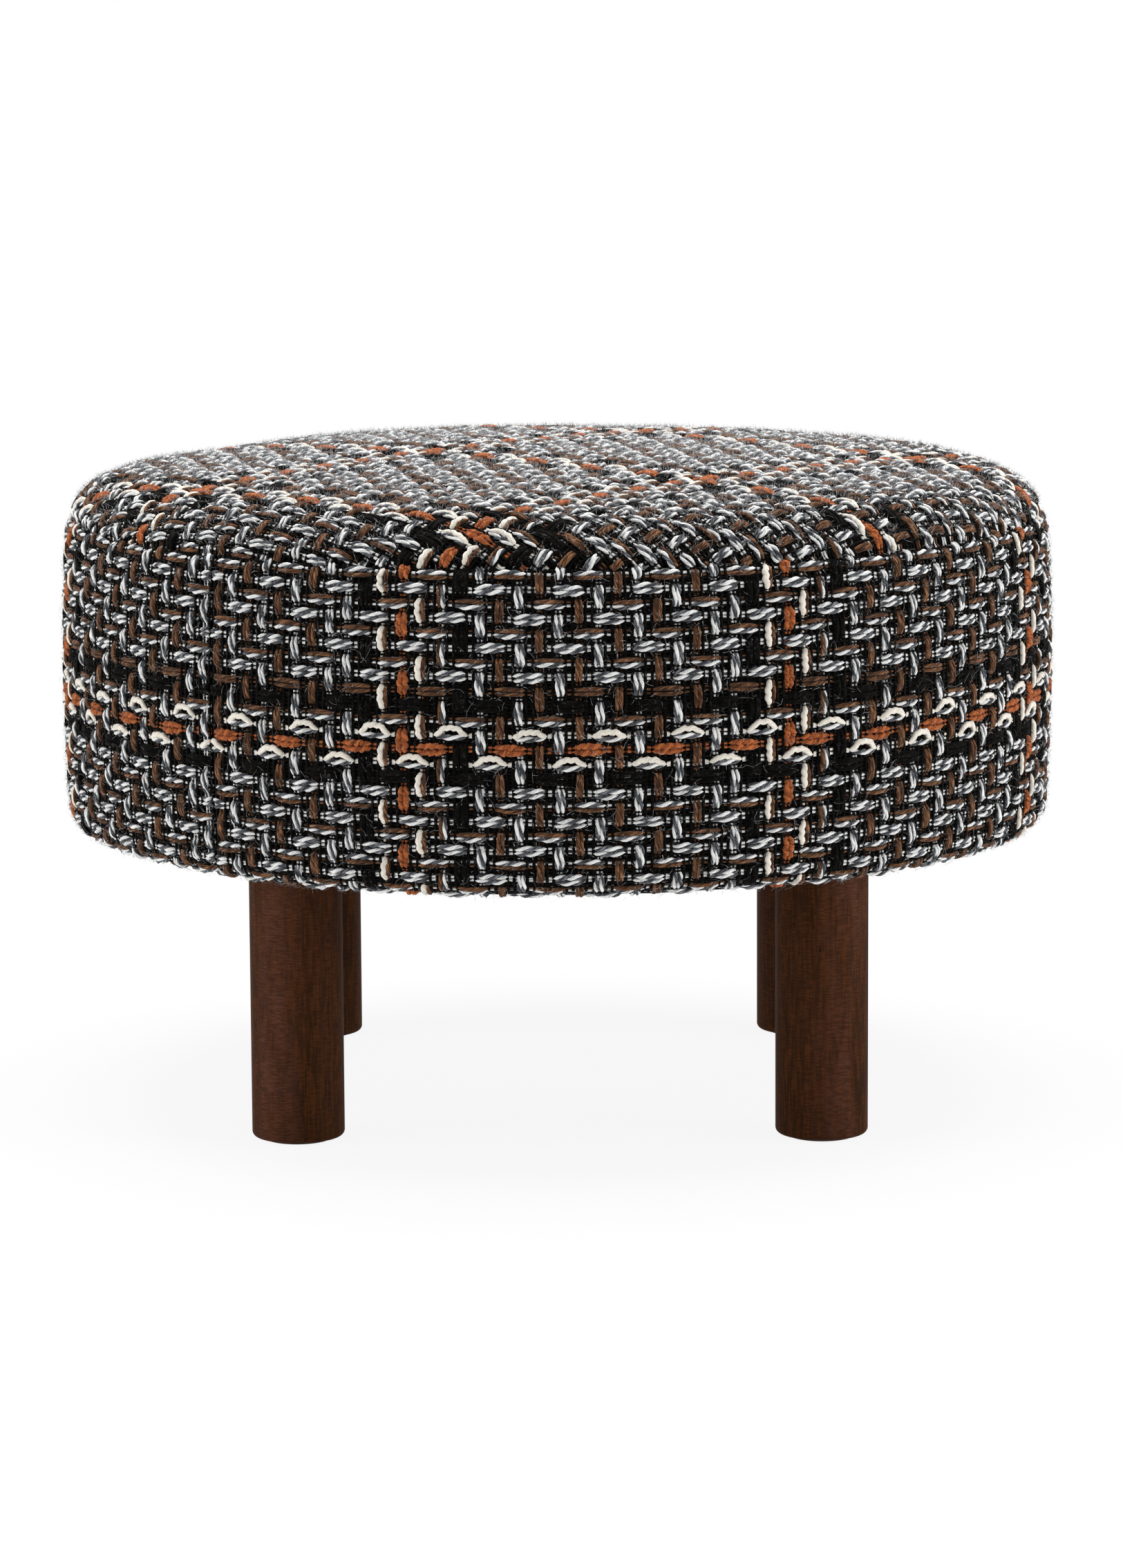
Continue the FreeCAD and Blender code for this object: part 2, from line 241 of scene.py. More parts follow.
class PoufWeave(bpy.types.PropertyGroup):
    """Counts and sizes of the weave."""

    panel_columns: tally("Columns", "Warps in one side panel", 84)
    side_row: size("Side row", "Weft pitch on the side", 7.52 * MM)
    first_row: size("First row", "First weft of the side below the ring seam", 4.8 * MM)
    top_row: size("Top row", "Weft pitch on the top", 7.4 * MM)
    top_column: size("Top column", "Warp pitch on the top", 10.15 * MM)
    top_turn: tilt("Top turn", "Plan angle of the wefts of the top panel", math.radians(-42.5))
    top_weft_line: size("Weft stripe", "Orange weft of the top, from the middle", 39.0 * MM)
    top_warp_line: size("Warp stripe", "Orange warp of the top, from the middle", -65.0 * MM)
    front_warp_line: tally("Front stripe", "First orange warp in front", 11)
    rear_warp_line: tally("Rear stripe", "First orange warp behind", 6)
    cloth_depth: size("Cloth depth", "Depth of the weave's foot under the yarn crests", 4.6 * MM)
    over: size("Over", "Height of a yarn's middle on its float", 3.5 * MM)
    under: size("Under", "Height of a yarn's middle below its crossings", 2.4 * MM)
    ground: size("Ground", "Height of the ground cloth's face", 2.1 * MM)
    pair_grip: size("Pair grip", "Strand from the pair's middle below its crossings", 1.05 * MM)
    warp_thread: size("Warp thread", "Radius of the black threads beside the warps", 0.95 * MM)
    weft_thread: size("Weft thread", "Radius of the black threads beside the wefts", 0.6 * MM)
    thread_top: size("Thread top", "Height of the flat face of the threads", 3.3 * MM)
    side_fibres: tally("Side fibres", "Loose fibres on the side", 5000)
    foot_fibres: tally("Foot fibres", "Loose fibres on the bottom edge", 1000)
    top_fibres: tally("Top fibres", "Loose fibres on the top", 3000)
    side_nap: tally("Side nap", "Standing fibres on the side", 12000)
    top_nap: tally("Top nap", "Standing fibres on the top", 39000)
    nap_radius: size("Nap radius", "Radius of a standing fibre at its root", 0.14 * MM)
    fibre_radius: size("Fibre radius", "Radius of a loose fibre", 0.05 * MM)
    seed: tally("Seed", "Start of the random draws", 11)


class PoufColours(bpy.types.PropertyGroup):
    """Colours of the yarns and finishes."""

    white: tint("White", "Pale ply of the grey and white strand", paint(244, 244, 242))
    grey: tint("Grey", "Middle tone of its grey ply", paint(58, 61, 66))
    grey_dark: tint("Dark grey", "Dark fibres of the grey ply", paint(32, 35, 39))
    grey_light: tint("Light grey", "Pale fibres of the grey ply", paint(142, 146, 152))
    brown: tint("Brown", "Brown strand", paint(83, 55, 37))
    brown_dark: tint("Dark brown", "Dark fibres of the brown strand", paint(33, 22, 15))
    brown_light: tint("Light brown", "Lit fibres of the brown strand", paint(155, 109, 75))
    cream: tint("Cream", "Smooth cream cord", paint(236, 229, 216))
    orange: tint("Orange", "Burnt orange cord", paint(180, 102, 57))
    rust: tint("Rust", "Darker ply of the orange cord", paint(148, 80, 46))
    black: tint("Black", "Black yarn and ground cloth", paint(12, 11, 10))
    stray: tint("Stray", "Fibres that lie on the black", paint(80, 80, 80))
    # Tone of the pale haze on the seat, which is partly fuzz and partly a painted sheen of the top under
    # light from above
    nap: tint("Nap", "Pale nap raised on the seat", paint(204, 205, 208))
    fibre: tint("Fibre", "Loose pale fibres", paint(198, 199, 201))
    wood: tint("Wood", "Stained leg", paint(57, 32, 14))
    # Redder bands of the stain, and also a painted highlight: this lighter red tone is laid in full on the
    # outer sides of the legs, which face the side lamps
    wood_red: tint("Red wood", "Redder bands of the stain", paint(93, 59, 47))
    wood_dark: tint("Dark wood", "Darker bands and pores", paint(34, 19, 8))


class PoufStage(bpy.types.PropertyGroup):
    """Camera and light."""

    lens: FloatProperty(name="Lens", description="Focal length on a 36 mm long side", default=131.3)
    distance: size("Distance", "Camera in front of the middle", 3.1658)
    height: size("Height", "Camera above the floor", 0.6757)
    pitch: tilt("Pitch", "Camera tilt down", 0.1584)
    roll: tilt("Roll", "Camera roll", -0.0057)
    yaw: tilt("Yaw", "Camera turn", -0.0006)
    sky: FloatProperty(name="Sky", description="Strength of the even light", default=0.2)
    key: power("Key", "Power of the overhead softbox", 88.0)
    fill: power("Fill", "Power of each side softbox", 45.0)


def smooth_step(value):
    """0 below 0, 1 above 1, and 3t^2 - 2t^3 between."""
    share = np.clip(value, 0.0, 1.0)
    return share * share * (3.0 - 2.0 * share)


def unit(vectors):
    """Vectors along the last axis, each at length 1."""
    return vectors / np.maximum(np.linalg.norm(vectors, axis=-1, keepdims=True), 1e-12)


class Section:
    """Half section of the padded drum, from the middle of the crown to the inner edge of the hem.

    Five tangent arcs and a line: the crown, the top edge, two side arcs that swell by side_bulge, the
    bottom edge and the level hem. The slope is the angle of the outward normal above level.
    """

    SAMPLES = 160

    def __init__(self, form):
        top, foot = form.top_edge, form.bottom_edge
        reach = form.drum_radius - form.side_bulge
        edge_r, edge_z = reach - top, form.overall_height - form.top_crown - top
        foot_r, foot_z = reach - foot, form.underside_height + foot
        crown = (edge_r**2 + form.top_crown * (form.top_crown + 2 * top)) / (2 * form.top_crown)
        middle, half = (edge_z + foot_z) / 2, (edge_z - foot_z) / 2
        swell = (half**2 + form.side_bulge**2) / (2 * form.side_bulge)
        crown_turn = math.atan2(crown - top - form.top_crown, edge_r)
        side_turn = math.asin(half / swell)
        level = math.pi / 2
        arcs = [
            (0.0, form.overall_height - crown, crown, level, crown_turn),
            (edge_r, edge_z, top, crown_turn, side_turn),
            (form.drum_radius - swell - top, middle, swell + top, side_turn, 0.0),
            (form.drum_radius - swell - foot, middle, swell + foot, 0.0, -side_turn),
            (foot_r, foot_z, foot, -side_turn, -level),
        ]
        turns = [np.linspace(a, b, self.SAMPLES) for _, _, _, a, b in arcs]
        radii = [r + curve * np.cos(t) for (r, _, curve, _, _), t in zip(arcs, turns)]
        heights = [z + curve * np.sin(t) for (_, z, curve, _, _), t in zip(arcs, turns)]
        hem = np.linspace(foot_r, form.hem_radius, self.SAMPLES)
        self.r = np.concatenate([*radii, hem])
        self.z = np.concatenate([*heights, np.full_like(hem, form.underside_height)])
        self.slope = np.concatenate([*turns, np.full_like(hem, -level)])
        steps = np.hypot(np.diff(self.r), np.diff(self.z))
        self.length = np.concatenate([[0.0], np.cumsum(steps)])
        self.total = float(self.length[-1])
        self.seam = float(np.interp(-form.top_seam, -self.slope, self.length))
        self.form = form

    def at(self, length):
        """Radius, height and slope at a length along the section."""
        return tuple(np.interp(length, self.length, found) for found in (self.r, self.z, self.slope))

    def drawn_in(self, angle, length):
        """How far the seams and the uneven padding move the surface inwards.

        A bell curve across the ring seam and a shallower one across each upright seam, plus three slow
        waves that fade out at the middle of the crown, and a round bell curve for each slack place.
        """
        form = self.form
        ring = np.exp(-(((length - self.seam) / form.seam_width) ** 2))
        turn = np.sin(angle - form.side_seam)
        upright = np.exp(-((turn * form.drum_radius / form.seam_width) ** 2)) * (length > self.seam)
        waves = (
            np.sin(5 * angle + 1.3) * np.sin(length / 0.031)
            + 0.7 * np.sin(11 * angle + 0.4 + length / 0.05)
            + 0.5 * np.sin(23 * angle - length / 0.04)
        )
        fade = smooth_step(length / 0.1)
        slack = 0.0
        for turned, wide, up, high, depth in SLACK_PLACES:
            aside = (np.degrees(angle) - turned + 180) % 360 - 180
            above = (self.seam - length) / MM - up
            slack = slack + depth * MM * np.exp(-((aside / wide) ** 2) - (above / high) ** 2)
        seams = form.seam_depth * np.maximum(ring, 0.8 * upright)
        return seams + form.unevenness * waves * fade / 2 + slack

    def place(self, angle, length, height):
        """Points on the form raised by height along its normal, and those normals."""
        r, z, slope = self.at(length)
        level, upward = np.cos(slope), np.sin(slope)
        lift = height - self.drawn_in(angle, length)
        out = r + lift * level
        points = np.stack([out * np.cos(angle), out * np.sin(angle), z + lift * upward], -1)
        normals = np.stack([level * np.cos(angle), level * np.sin(angle), upward], -1)
        return points, normals


# Places of the colour sockets on a Mix node
COLOUR_FACTOR, COLOUR_FIRST, COLOUR_SECOND, COLOUR_RESULT = 0, 6, 7, 2


class Wire:
    """A shader socket. Operators on it add Math nodes to its tree."""

    def __init__(self, tree, socket=None):
        self.tree = tree
        self.socket = socket

    def node(self, kind, settings, sockets, output=0):
        """Adds a node: its settings are set first, then its sockets get values or links."""
        made = self.tree.nodes.new(kind)
        for name, value in settings.items():
            if name == "stops":
                set_stops(made.color_ramp, value)
            else:
                setattr(made, name, value)
        for name, value in sockets.items():
            if isinstance(value, Wire):
                self.tree.links.new(value.socket, made.inputs[name])
            else:
                made.inputs[name].default_value = value
        return Wire(self.tree, made.outputs[output])

    def maths(self, operation, *values):
        """A Math node on these values, or on this one alone."""
        return self.node("ShaderNodeMath", {"operation": operation}, dict(enumerate(values or (self,))))

    def __add__(self, other):
        return self.maths("ADD", self, other)

    def __radd__(self, other):
        return self.maths("ADD", other, self)

    def __sub__(self, other):
        return self.maths("SUBTRACT", self, other)

    def __rsub__(self, other):
        return self.maths("SUBTRACT", other, self)

    def __mul__(self, other):
        return self.maths("MULTIPLY", self, other)

    def __rmul__(self, other):
        return self.maths("MULTIPLY", other, self)

    def step(self, low, high):
        """0 below low and 1 above high, smoothly between."""
        sockets = {"Value": self, "From Min": low, "From Max": high}
        return self.node("ShaderNodeMapRange", {"interpolation_type": "SMOOTHSTEP"}, sockets)

    def mix(self, first, second):
        """The first colour where this value is 0 and the second where it is 1."""
        sockets = {COLOUR_FACTOR: self, COLOUR_FIRST: first, COLOUR_SECOND: second}
        return self.node("ShaderNodeMix", {"data_type": "RGBA"}, sockets, COLOUR_RESULT)

    def vector(self, x, y, z):
        """A vector of three values."""
        return self.node("ShaderNodeCombineXYZ", {}, {"X": x, "Y": y, "Z": z})

    def parts(self):
        """The three values of this vector."""
        made = self.node("ShaderNodeSeparateXYZ", {}, {"Vector": self}).socket.node
        return [Wire(self.tree, socket) for socket in made.outputs]

    def noise(self, scale, detail=2.0, roughness=0.5):
        """Noise from 0 to 1 at this vector."""
        sockets = {"Vector": self, "Scale": scale, "Detail": detail, "Roughness": roughness}
        return self.node("ShaderNodeTexNoise", {}, sockets, "Fac")

    def ramp(self, stops):
        """The colour at this value on a ramp of stops."""
        return self.node("ShaderNodeValToRGB", {"stops": stops}, {"Fac": self}, "Color")


def set_stops(ramp, stops):
    """Puts (place, display colour) stops on a colour ramp."""
    while len(ramp.elements) < len(stops):
        ramp.elements.new(0.5)
    for element, (place, colour) in zip(ramp.elements, stops):
        element.position = place
        element.color = linear(colour)


def linear(colour):
    """A display colour as the linear colour with alpha that a socket takes."""
    values = np.asarray(colour[:3], float)
    straight = np.where(values <= 0.04045, values / 12.92, ((values + 0.055) / 1.055) ** 2.4)
    return (*straight.tolist(), 1.0)


def shade(colour, share):
    """A display colour made lighter (share above 1) or darker."""
    return tuple(min(1.0, value * share) for value in colour[:3])


def blend(first, second, share):
    """A display colour between two others."""
    return tuple(a + share * (b - a) for a, b in zip(first[:3], second[:3]))


def finish(name, recipe, constants, bump=1.0):
    """A Principled material. The recipe returns what varies: colour, roughness and a height in metres.

    bump is the share of that height that shows.
    """
    if name in bpy.data.materials:
        return bpy.data.materials[name]
    material = bpy.data.materials.new(name)
    material.use_nodes = True
    tree = material.node_tree
    shader = tree.nodes["Principled BSDF"]
    for socket, value in constants.items():
        shader.inputs[socket].default_value = value
    start = Wire(tree)
    colour, roughness, height = recipe(start)
    tree.links.new(colour.socket, shader.inputs["Base Color"])
    tree.links.new(roughness.socket, shader.inputs["Roughness"])
    raised = start.node("ShaderNodeBump", {}, {"Strength": bump, "Distance": 1.0, "Height": height})
    tree.links.new(raised.socket, shader.inputs["Normal"])
    return material


FABRIC = {"Specular IOR Level": 0.15, "Sheen Weight": 0.3, "Sheen Roughness": 0.4}
DARK_FABRIC = {"Specular IOR Level": 0.1, "Sheen Weight": 0.08, "Sheen Roughness": 0.4}
BLACK_FABRIC = {"Specular IOR Level": 0.02, "Sheen Weight": 0.02, "Sheen Roughness": 0.4}
YARN_CONSTANTS = {"white": FABRIC, "grey": FABRIC, "cream": FABRIC, "black": BLACK_FABRIC}
MATT = {"Specular IOR Level": 0.3}
METAL = {"Metallic": 1.0}
STAIN = {"Specular IOR Level": 0.04}

# How much of the stray fibres shows, and the radii on the seat to which the pale haze is full and at which
# it ends; the haze is partly fuzz and partly a painted sheen of the top under light from above
STRAY_SHARE = 0.6
FUZZ_SHEEN_FULL, FUZZ_SHEEN_END = 0.175, 0.252


def yarn_places(start):
    """Millimetres along a strand, turns round it from its underside."""
    along, around, _ = start.node("ShaderNodeUVMap", {"uv_map": YARN_MAP}, {}, "UV").parts()
    return along, around


def object_places(start):
    """Places in the shared frame, in metres."""
    return start.node("ShaderNodeTexCoord", {}, {}, "Object")


def stray_lines(places, scale):
    """1 on the lines on which one noise is a half, broken up by a second noise, and 0 elsewhere."""
    away = (places.noise(scale, 1.0, 0.5) - 0.5).maths("ABSOLUTE")
    return (1.0 - away.step(0.002, 0.009)) * places.noise(scale * 1.7, 0.0).step(0.45, 0.6)


def with_stray_fibres(start, colour, stray):
    """The colour with short thin curling fibres over it, in two sizes."""
    places = object_places(start)
    large, small = (stray_lines(places, scale) for scale in (150.0, 270.0))
    return (large.maths("MAXIMUM", large, small) * STRAY_SHARE).mix(colour, linear(stray))


def raised_nap(start):
    """How much pale haze covers the yarns: a fine grain on the seat that fades out towards the rim, partly
    fuzz and partly a painted sheen of the top under light from above.
    """
    places = object_places(start)
    x, y, _ = places.parts()
    seat = 1.0 - (x * x + y * y).step(FUZZ_SHEEN_FULL**2, FUZZ_SHEEN_END**2)
    return seat * (places.noise(1400.0, 2.0, 0.6).step(0.3, 0.7) * 0.2 + 0.07)


def spun(middle, dark, light, twist, relief, nap, raised=1.0, stray=None):
    """Twisted fibres in three tones: the middle one, with dark and light streaks along the fibres.

    The fibres run along the lines on which along / twist - around is the same. Stray fibres of a fourth
    colour may lie over them, and a pale haze on the seat, by a share, lies over all: partly fuzz and partly
    a painted sheen of the top under light from above.
    """

    def recipe(start):
        along, around = yarn_places(start)
        turn = along * (1.0 / twist) - around
        broad = start.vector(along * 0.1, turn * 4.0, 0.0).noise(1.0, 2.0, 0.55)
        fine = start.vector(along * 0.22, turn * 13.0, 4.0).noise(1.0, 2.0, 0.6)
        mixed = broad * 0.45 + fine * 0.55
        colour = mixed.step(0.51, 0.6).mix(linear(middle), linear(light))
        colour = (1.0 - mixed.step(0.4, 0.49)).mix(colour, linear(dark))
        if stray:
            colour = with_stray_fibres(start, colour, stray)
        # Pale haze on the seat: partly fuzz, partly a painted sheen of the top under light from above
        colour = (raised_nap(start) * raised).mix(colour, linear(nap))
        return colour, fine * 0.2 + 0.68, (broad + fine) * relief

    return recipe


def yarn_recipes(colours):
    """The recipe of each ply: three tones, the twist in millimetres, the relief and the tone of its seat
    haze, which is partly fuzz and partly a painted sheen.
    """
    white, grey, brown, cream = colours.white, colours.grey, colours.brown, colours.cream
    orange, rust, black, nap = colours.orange, colours.rust, colours.black, colours.nap
    lit_brown, lit_orange = colours.brown_light, shade(orange, 1.15)
    orange_fuzz_sheen, rust_fuzz_sheen = blend(lit_orange, nap, 0.12), blend(orange, nap, 0.12)
    return {
        "white": spun(white, shade(white, 0.74), shade(white, 1.05), 9.0, 0.08 * MM, nap),
        # The grey ply takes more of the seat's haze, partly fuzz and partly painted sheen
        "grey": spun(grey, colours.grey_dark, colours.grey_light, 9.0, 0.14 * MM, nap, raised=1.6),
        "brown": spun(brown, colours.brown_dark, lit_brown, 16.0, 0.4 * MM, blend(lit_brown, nap, 0.35)),
        "cream": spun(cream, shade(cream, 0.9), shade(cream, 1.04), 12.0, 0.03 * MM, nap),
        "orange": spun(orange, shade(orange, 0.6), lit_orange, 5.0, 0.22 * MM, orange_fuzz_sheen),
        "rust": spun(rust, shade(rust, 0.55), orange, 5.0, 0.22 * MM, rust_fuzz_sheen),
        "black": spun(black, shade(black, 0.6), shade(black, 1.9), 14.0, 0.25 * MM, blend(black, nap, 0.1),
                      stray=colours.stray),
    }


def yarn_finish(ply, colours):
    """The spun finish of one ply."""
    return finish(f"{ply}_yarn", yarn_recipes(colours)[ply], YARN_CONSTANTS.get(ply, DARK_FABRIC))


def grained(name, tones, scale, relief, roughness, constants, stretch=1.0, stray=None, bump=1.0):
    """A finish whose tone follows noise, stretched along Z by stretch, with a finer grain on top.

    The noise runs through the tones at even steps. Stray fibres of another colour may lie over it.
    """
    stops = list(zip(np.linspace(0.0, 1.0, len(tones)).tolist(), tones))

    def recipe(start):
        x, y, z = object_places(start).parts()
        drawn = start.vector(x, y, z * stretch)
        broad = drawn.noise(scale, 3.0, 0.55)
        fine = drawn.noise(scale * 9.0, 2.0, 0.6)
        colour = (broad * 0.65 + fine * 0.35).step(0.25, 0.75).ramp(stops)
        if stray:
            colour = with_stray_fibres(start, colour, stray)
        return colour, fine * 0.2 + roughness, fine * relief

    return finish(name, recipe, constants, bump)


def wood_recipe(colours):
    """Stained wood with slow bands along the legs, redder and lighter towards their outer sides, where that
    tone is a painted highlight from the side lamps, with mottling, fine streaks, faint sanding rings and
    small pores."""
    wood, red, dark = colours.wood, colours.wood_red, colours.wood_dark
    leg = (LEG_HIGH.x + LEG_LOW.x) / 2

    def recipe(start):
        x, y, z = object_places(start).parts()
        bands = start.vector(x, y, z * 0.12 + x * 0.25).noise(38.0, 2.0, 0.5)
        streaks = start.vector(x, y, z * 0.08).noise(700.0, 3.0, 0.6)
        mottling = start.vector(x, y, z * 0.3).noise(170.0, 3.0, 0.6)
        sanding = start.vector(x * 0.12, y * 0.12, z).noise(1700.0, 2.0, 0.6)
        pores = start.vector(x, y, z * 0.55).noise(420.0, 1.0, 0.4)
        # Painted highlight: the outer side of each leg, which faces a side lamp, takes the red and lighter
        # tone in full
        outer = x.maths("ABSOLUTE").step(leg - 12.0 * MM, leg + 14.0 * MM)
        colour = (bands.step(0.4, 0.62) * (outer * 0.8 + 0.2)).mix(linear(wood), linear(red))
        colour = ((1.0 - bands.step(0.34, 0.5)) * 0.55).mix(colour, linear(dark))
        colour = (mottling.step(0.44, 0.66) * 0.36).mix(colour, linear(dark))
        colour = (streaks.step(0.42, 0.62) * 0.5).mix(colour, linear(shade(wood, 1.75)))
        colour = (sanding.step(0.38, 0.62) * 0.5).mix(colour, linear(dark))
        pits = pores.step(0.74, 0.8)
        colour = (pits * 0.7).mix(colour, linear(shade(dark, 0.5)))
        height = (sanding * 0.5 + streaks * 0.5 - pits) * (0.05 * MM)
        return colour, streaks * 0.15 + 0.6, height

    return recipe


def put_piece(name, points, corners, starts, maps, slot, material):
    """Makes one piece from whole arrays: points, face corners, first corners and UV maps by name."""
    mesh = bpy.data.meshes.new(name)
    mesh.vertices.add(len(points))
    mesh.vertices.foreach_set("co", np.ascontiguousarray(points, np.float32).ravel())
    mesh.loops.add(len(corners))
    mesh.loops.foreach_set("vertex_index", np.ascontiguousarray(corners, np.int32))
    mesh.polygons.add(len(starts))
    mesh.polygons.foreach_set("loop_start", np.ascontiguousarray(starts, np.int32))
    mesh.update(calc_edges=True)
    for map_name, places in maps.items():
        uv_layer = mesh.uv_layers.new(name=map_name)
        uv_layer.uv.foreach_set("vector", np.ascontiguousarray(places, np.float32).ravel())
    mesh.shade_smooth()
    mesh.materials.append(material)
    piece = bpy.data.objects.new(name, mesh)
    bpy.context.scene.collection.objects.link(piece)
    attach(piece, BODY)
    return piece


Tubes = namedtuple("Tubes", "points corners starts maps")


def cross_frame(centres, normals):
    """Unit vectors beside and above paths: b = n x t, and t x b, with t along each path."""
    along = unit(np.gradient(centres, axis=1))
    beside = unit(np.cross(normals, along))
    return beside, np.cross(along, beside)


def tubes(centres, normals, radius, sides, flat=1.0, keep=None):
    """Closed tubes along many paths at once.

    centres and normals are (paths, rings, 3), and keep marks the rings that exist, all by default. A ring
    is c + r (flat cos v n + sin v b), with t along the path, b = n x t, and v from the underside round.
    The yarn map is millimetres along all paths laid end to end, and turns round. The bake map folds
    that line into rows.
    """
    if keep is None:
        keep = np.ones(radius.shape, bool)
    beside, upward = cross_frame(centres, normals)
    turn = 2 * np.pi * (np.arange(sides)[:, None] / sides - 0.5)
    high, wide = (radius * flat)[..., None, None], radius[..., None, None]
    ring = high * upward[:, :, None] * np.cos(turn) + wide * beside[:, :, None] * np.sin(turn)
    points = (centres[:, :, None] + ring)[keep].reshape(-1, 3)

    number = np.cumsum(keep.ravel()).reshape(keep.shape) - 1
    joined = keep[:, :-1] & keep[:, 1:]
    low = number[:, :-1][joined]
    lengths = np.linalg.norm(np.diff(centres, axis=1), axis=-1)[joined] / MM
    run = np.zeros(keep.sum())
    run[low + 1] = lengths
    run = np.cumsum(run)

    side = np.arange(sides)
    beyond = (side + 1) % sides
    near, far = low[:, None] * sides, (low[:, None] + 1) * sides
    quads = np.stack([near + side, far + side, far + beyond, near + beyond], -1)
    first = number[:, 1:][keep[:, 1:] & ~keep[:, :-1]]
    first = np.concatenate([first, number[:, 0][keep[:, 0]]])
    last = number[:, :-1][keep[:, :-1] & ~keep[:, 1:]]
    last = np.concatenate([last, number[:, -1][keep[:, -1]]])
    caps = np.concatenate([first[:, None] * sides + side, last[:, None] * sides + side[::-1]])

    corners = np.concatenate([quads.ravel(), caps.ravel()])
    quad_starts = np.arange(low.size * sides) * 4
    starts = np.concatenate([quad_starts, low.size * sides * 4 + np.arange(len(caps)) * sides])

    around = np.stack([side, side, side + 1, side + 1], -1) / sides
    ahead = np.stack([run[low], run[low + 1], run[low + 1], run[low]], -1)
    quad_run = np.broadcast_to(ahead[:, None], quads.shape)
    quad_turn = np.broadcast_to(around, quads.shape)
    cap_run = np.broadcast_to(run[np.concatenate([first, last])][:, None], caps.shape)
    cap_turn = np.concatenate([np.tile(side, (len(first), 1)), np.tile(side[::-1], (len(last), 1))]) / sides
    yarn = np.stack([np.concatenate([quad_run.ravel(), cap_run.ravel()]),
                     np.concatenate([quad_turn.ravel(), cap_turn.ravel()])], -1)

    girth = 2 * np.pi * float(radius.mean()) / MM
    row = max(math.sqrt(run[-1] * girth), 1.0)
    rows = math.floor(run[-1] / row) + 1
    base = np.concatenate([np.repeat(run[low], sides * 4), cap_run.ravel()])
    line = np.floor(base / row)
    span = row + float(lengths.max())
    margin = 0.06
    bake = np.stack([(yarn[:, 0] - line * row) / span,
                     (line + margin + (1 - 2 * margin) * yarn[:, 1]) / rows], -1)
    return Tubes(points, corners, starts, {YARN_MAP: yarn, BAKE_MAP: bake})


def over_under(phase, dive):
    """1 on a float and 0 below the crossings, for a phase in crossings from the middle of the float.

    The rise between them takes half a crossing.
    """
    return smooth_step((dive - np.abs(phase)) / 0.5)


def strands(family, kind, picked, weave, section, draw):
    """Tubes of the plies of the strands of one kind in one family of yarns.

    picked is (yarn, side of the pair). Each strand lies at its yarn's middle, moved aside by the pair's
    spread and a bow on the float, and rises from under to over by over_under(phase). Its radius and its
    spread follow the float's lens shape, (1 - (phase / dive)^2)^0.75. A hook draws the ends of a float back
    across the pair, and keeps the strand's radius full to there. A ply winds round the strand's middle at
    its gap, a turn in each twist.
    """
    spin = SPINS[kind]
    yarn, hand = picked[:, 0], picked[:, 1]
    first, start, stop = family.first[yarn], family.start[yarn][:, None], family.stop[yarn][:, None]
    periods = REPEAT * np.arange(math.floor(start.min() / REPEAT) - 1, math.ceil(stop.max() / REPEAT) + 2)
    shape = (len(yarn), len(periods), len(spin.rings))
    raw = (first % REPEAT)[:, None, None] + periods[None, :, None] + spin.rings
    raw = raw.reshape(len(yarn), -1)
    inside = (raw > start) & (raw < stop)
    keep = inside.copy()
    keep[:, 1:] |= inside[:, :-1]
    keep[:, :-1] |= inside[:, 1:]
    place = np.clip(raw, start, stop)
    phase = (place - first[:, None] + 2) % REPEAT - 2
    away = np.abs(phase)
    lift = over_under(phase, family.dive)
    lens = np.clip(1.0 - (phase / family.dive) ** 2, 0.0, 1.0) ** 0.75

    chance = draw.uniform(-1.0, 1.0, (4, len(yarn), len(periods), 1))
    amount, sway, rise, swell = (np.broadcast_to(c, shape).reshape(raw.shape) for c in chance)
    # By chance a float bows by 0.15 to 1.15 of the full bow, and a hook draws both its ends back
    hump = smooth_step((family.dive - away) / 0.6)
    bow = family.bow * spin.bow * hump * np.clip(0.75 + 0.6 * amount, 0.0, 1.15) * hand[:, None]
    ends = smooth_step((away - 0.3) / 0.4) * smooth_step((1.2 - away) / 0.3)
    hook = family.bow * spin.hook * ends * hand[:, None]
    spread = weave.pair_grip + (spin.spread - weave.pair_grip) * lens
    along = family.zero + place * family.pitch
    wander = YARN_WANDER * np.sin(2 * np.pi * along / YARN_WAVE + 2.4 * yarn[:, None])
    crimp = spin.crimp * np.sin(2 * np.pi * along / CRIMP_LENGTH + 9.0 * sway) * lift
    aside = hand[:, None] * spread + bow - hook + crimp + wander + FLOAT_SWAY * sway * lift
    under = weave.under - family.sink
    height = under + (weave.over - under) * lift + FLOAT_ARCH * lens + FLOAT_RISE * rise * lift
    angle, length = family.lay(along, family.middle[yarn][:, None] + aside)
    centres, normals = section.place(angle, length, height - weave.cloth_depth)

    # The plies begin and wind at a chance angle and pace, and close up below the crossings
    beside, upward = cross_frame(centres, normals)
    begin = draw.uniform(0.0, 2 * np.pi, (len(yarn), 1))
    pace = draw.uniform(0.85, 1.2, (len(yarn), 1)) / spin.twist
    gap = (spin.gap * (0.15 + 0.85 * lens))[..., None]
    body = smooth_step((0.98 - away) / 0.3) if spin.hook else lens
    made = []
    for number, low in enumerate(spin.low):
        turn = (begin - 2 * np.pi * (along * pace - number / len(spin.low)))[..., None]
        middles = centres + gap * (np.cos(turn) * beside + np.sin(turn) * upward)
        radius = spin.radius * (low + (1.0 - low) * body) * (1.0 + 0.08 * swell)
        made.append(tubes(middles, normals, radius, spin.sides, spin.flat, keep))
    return made


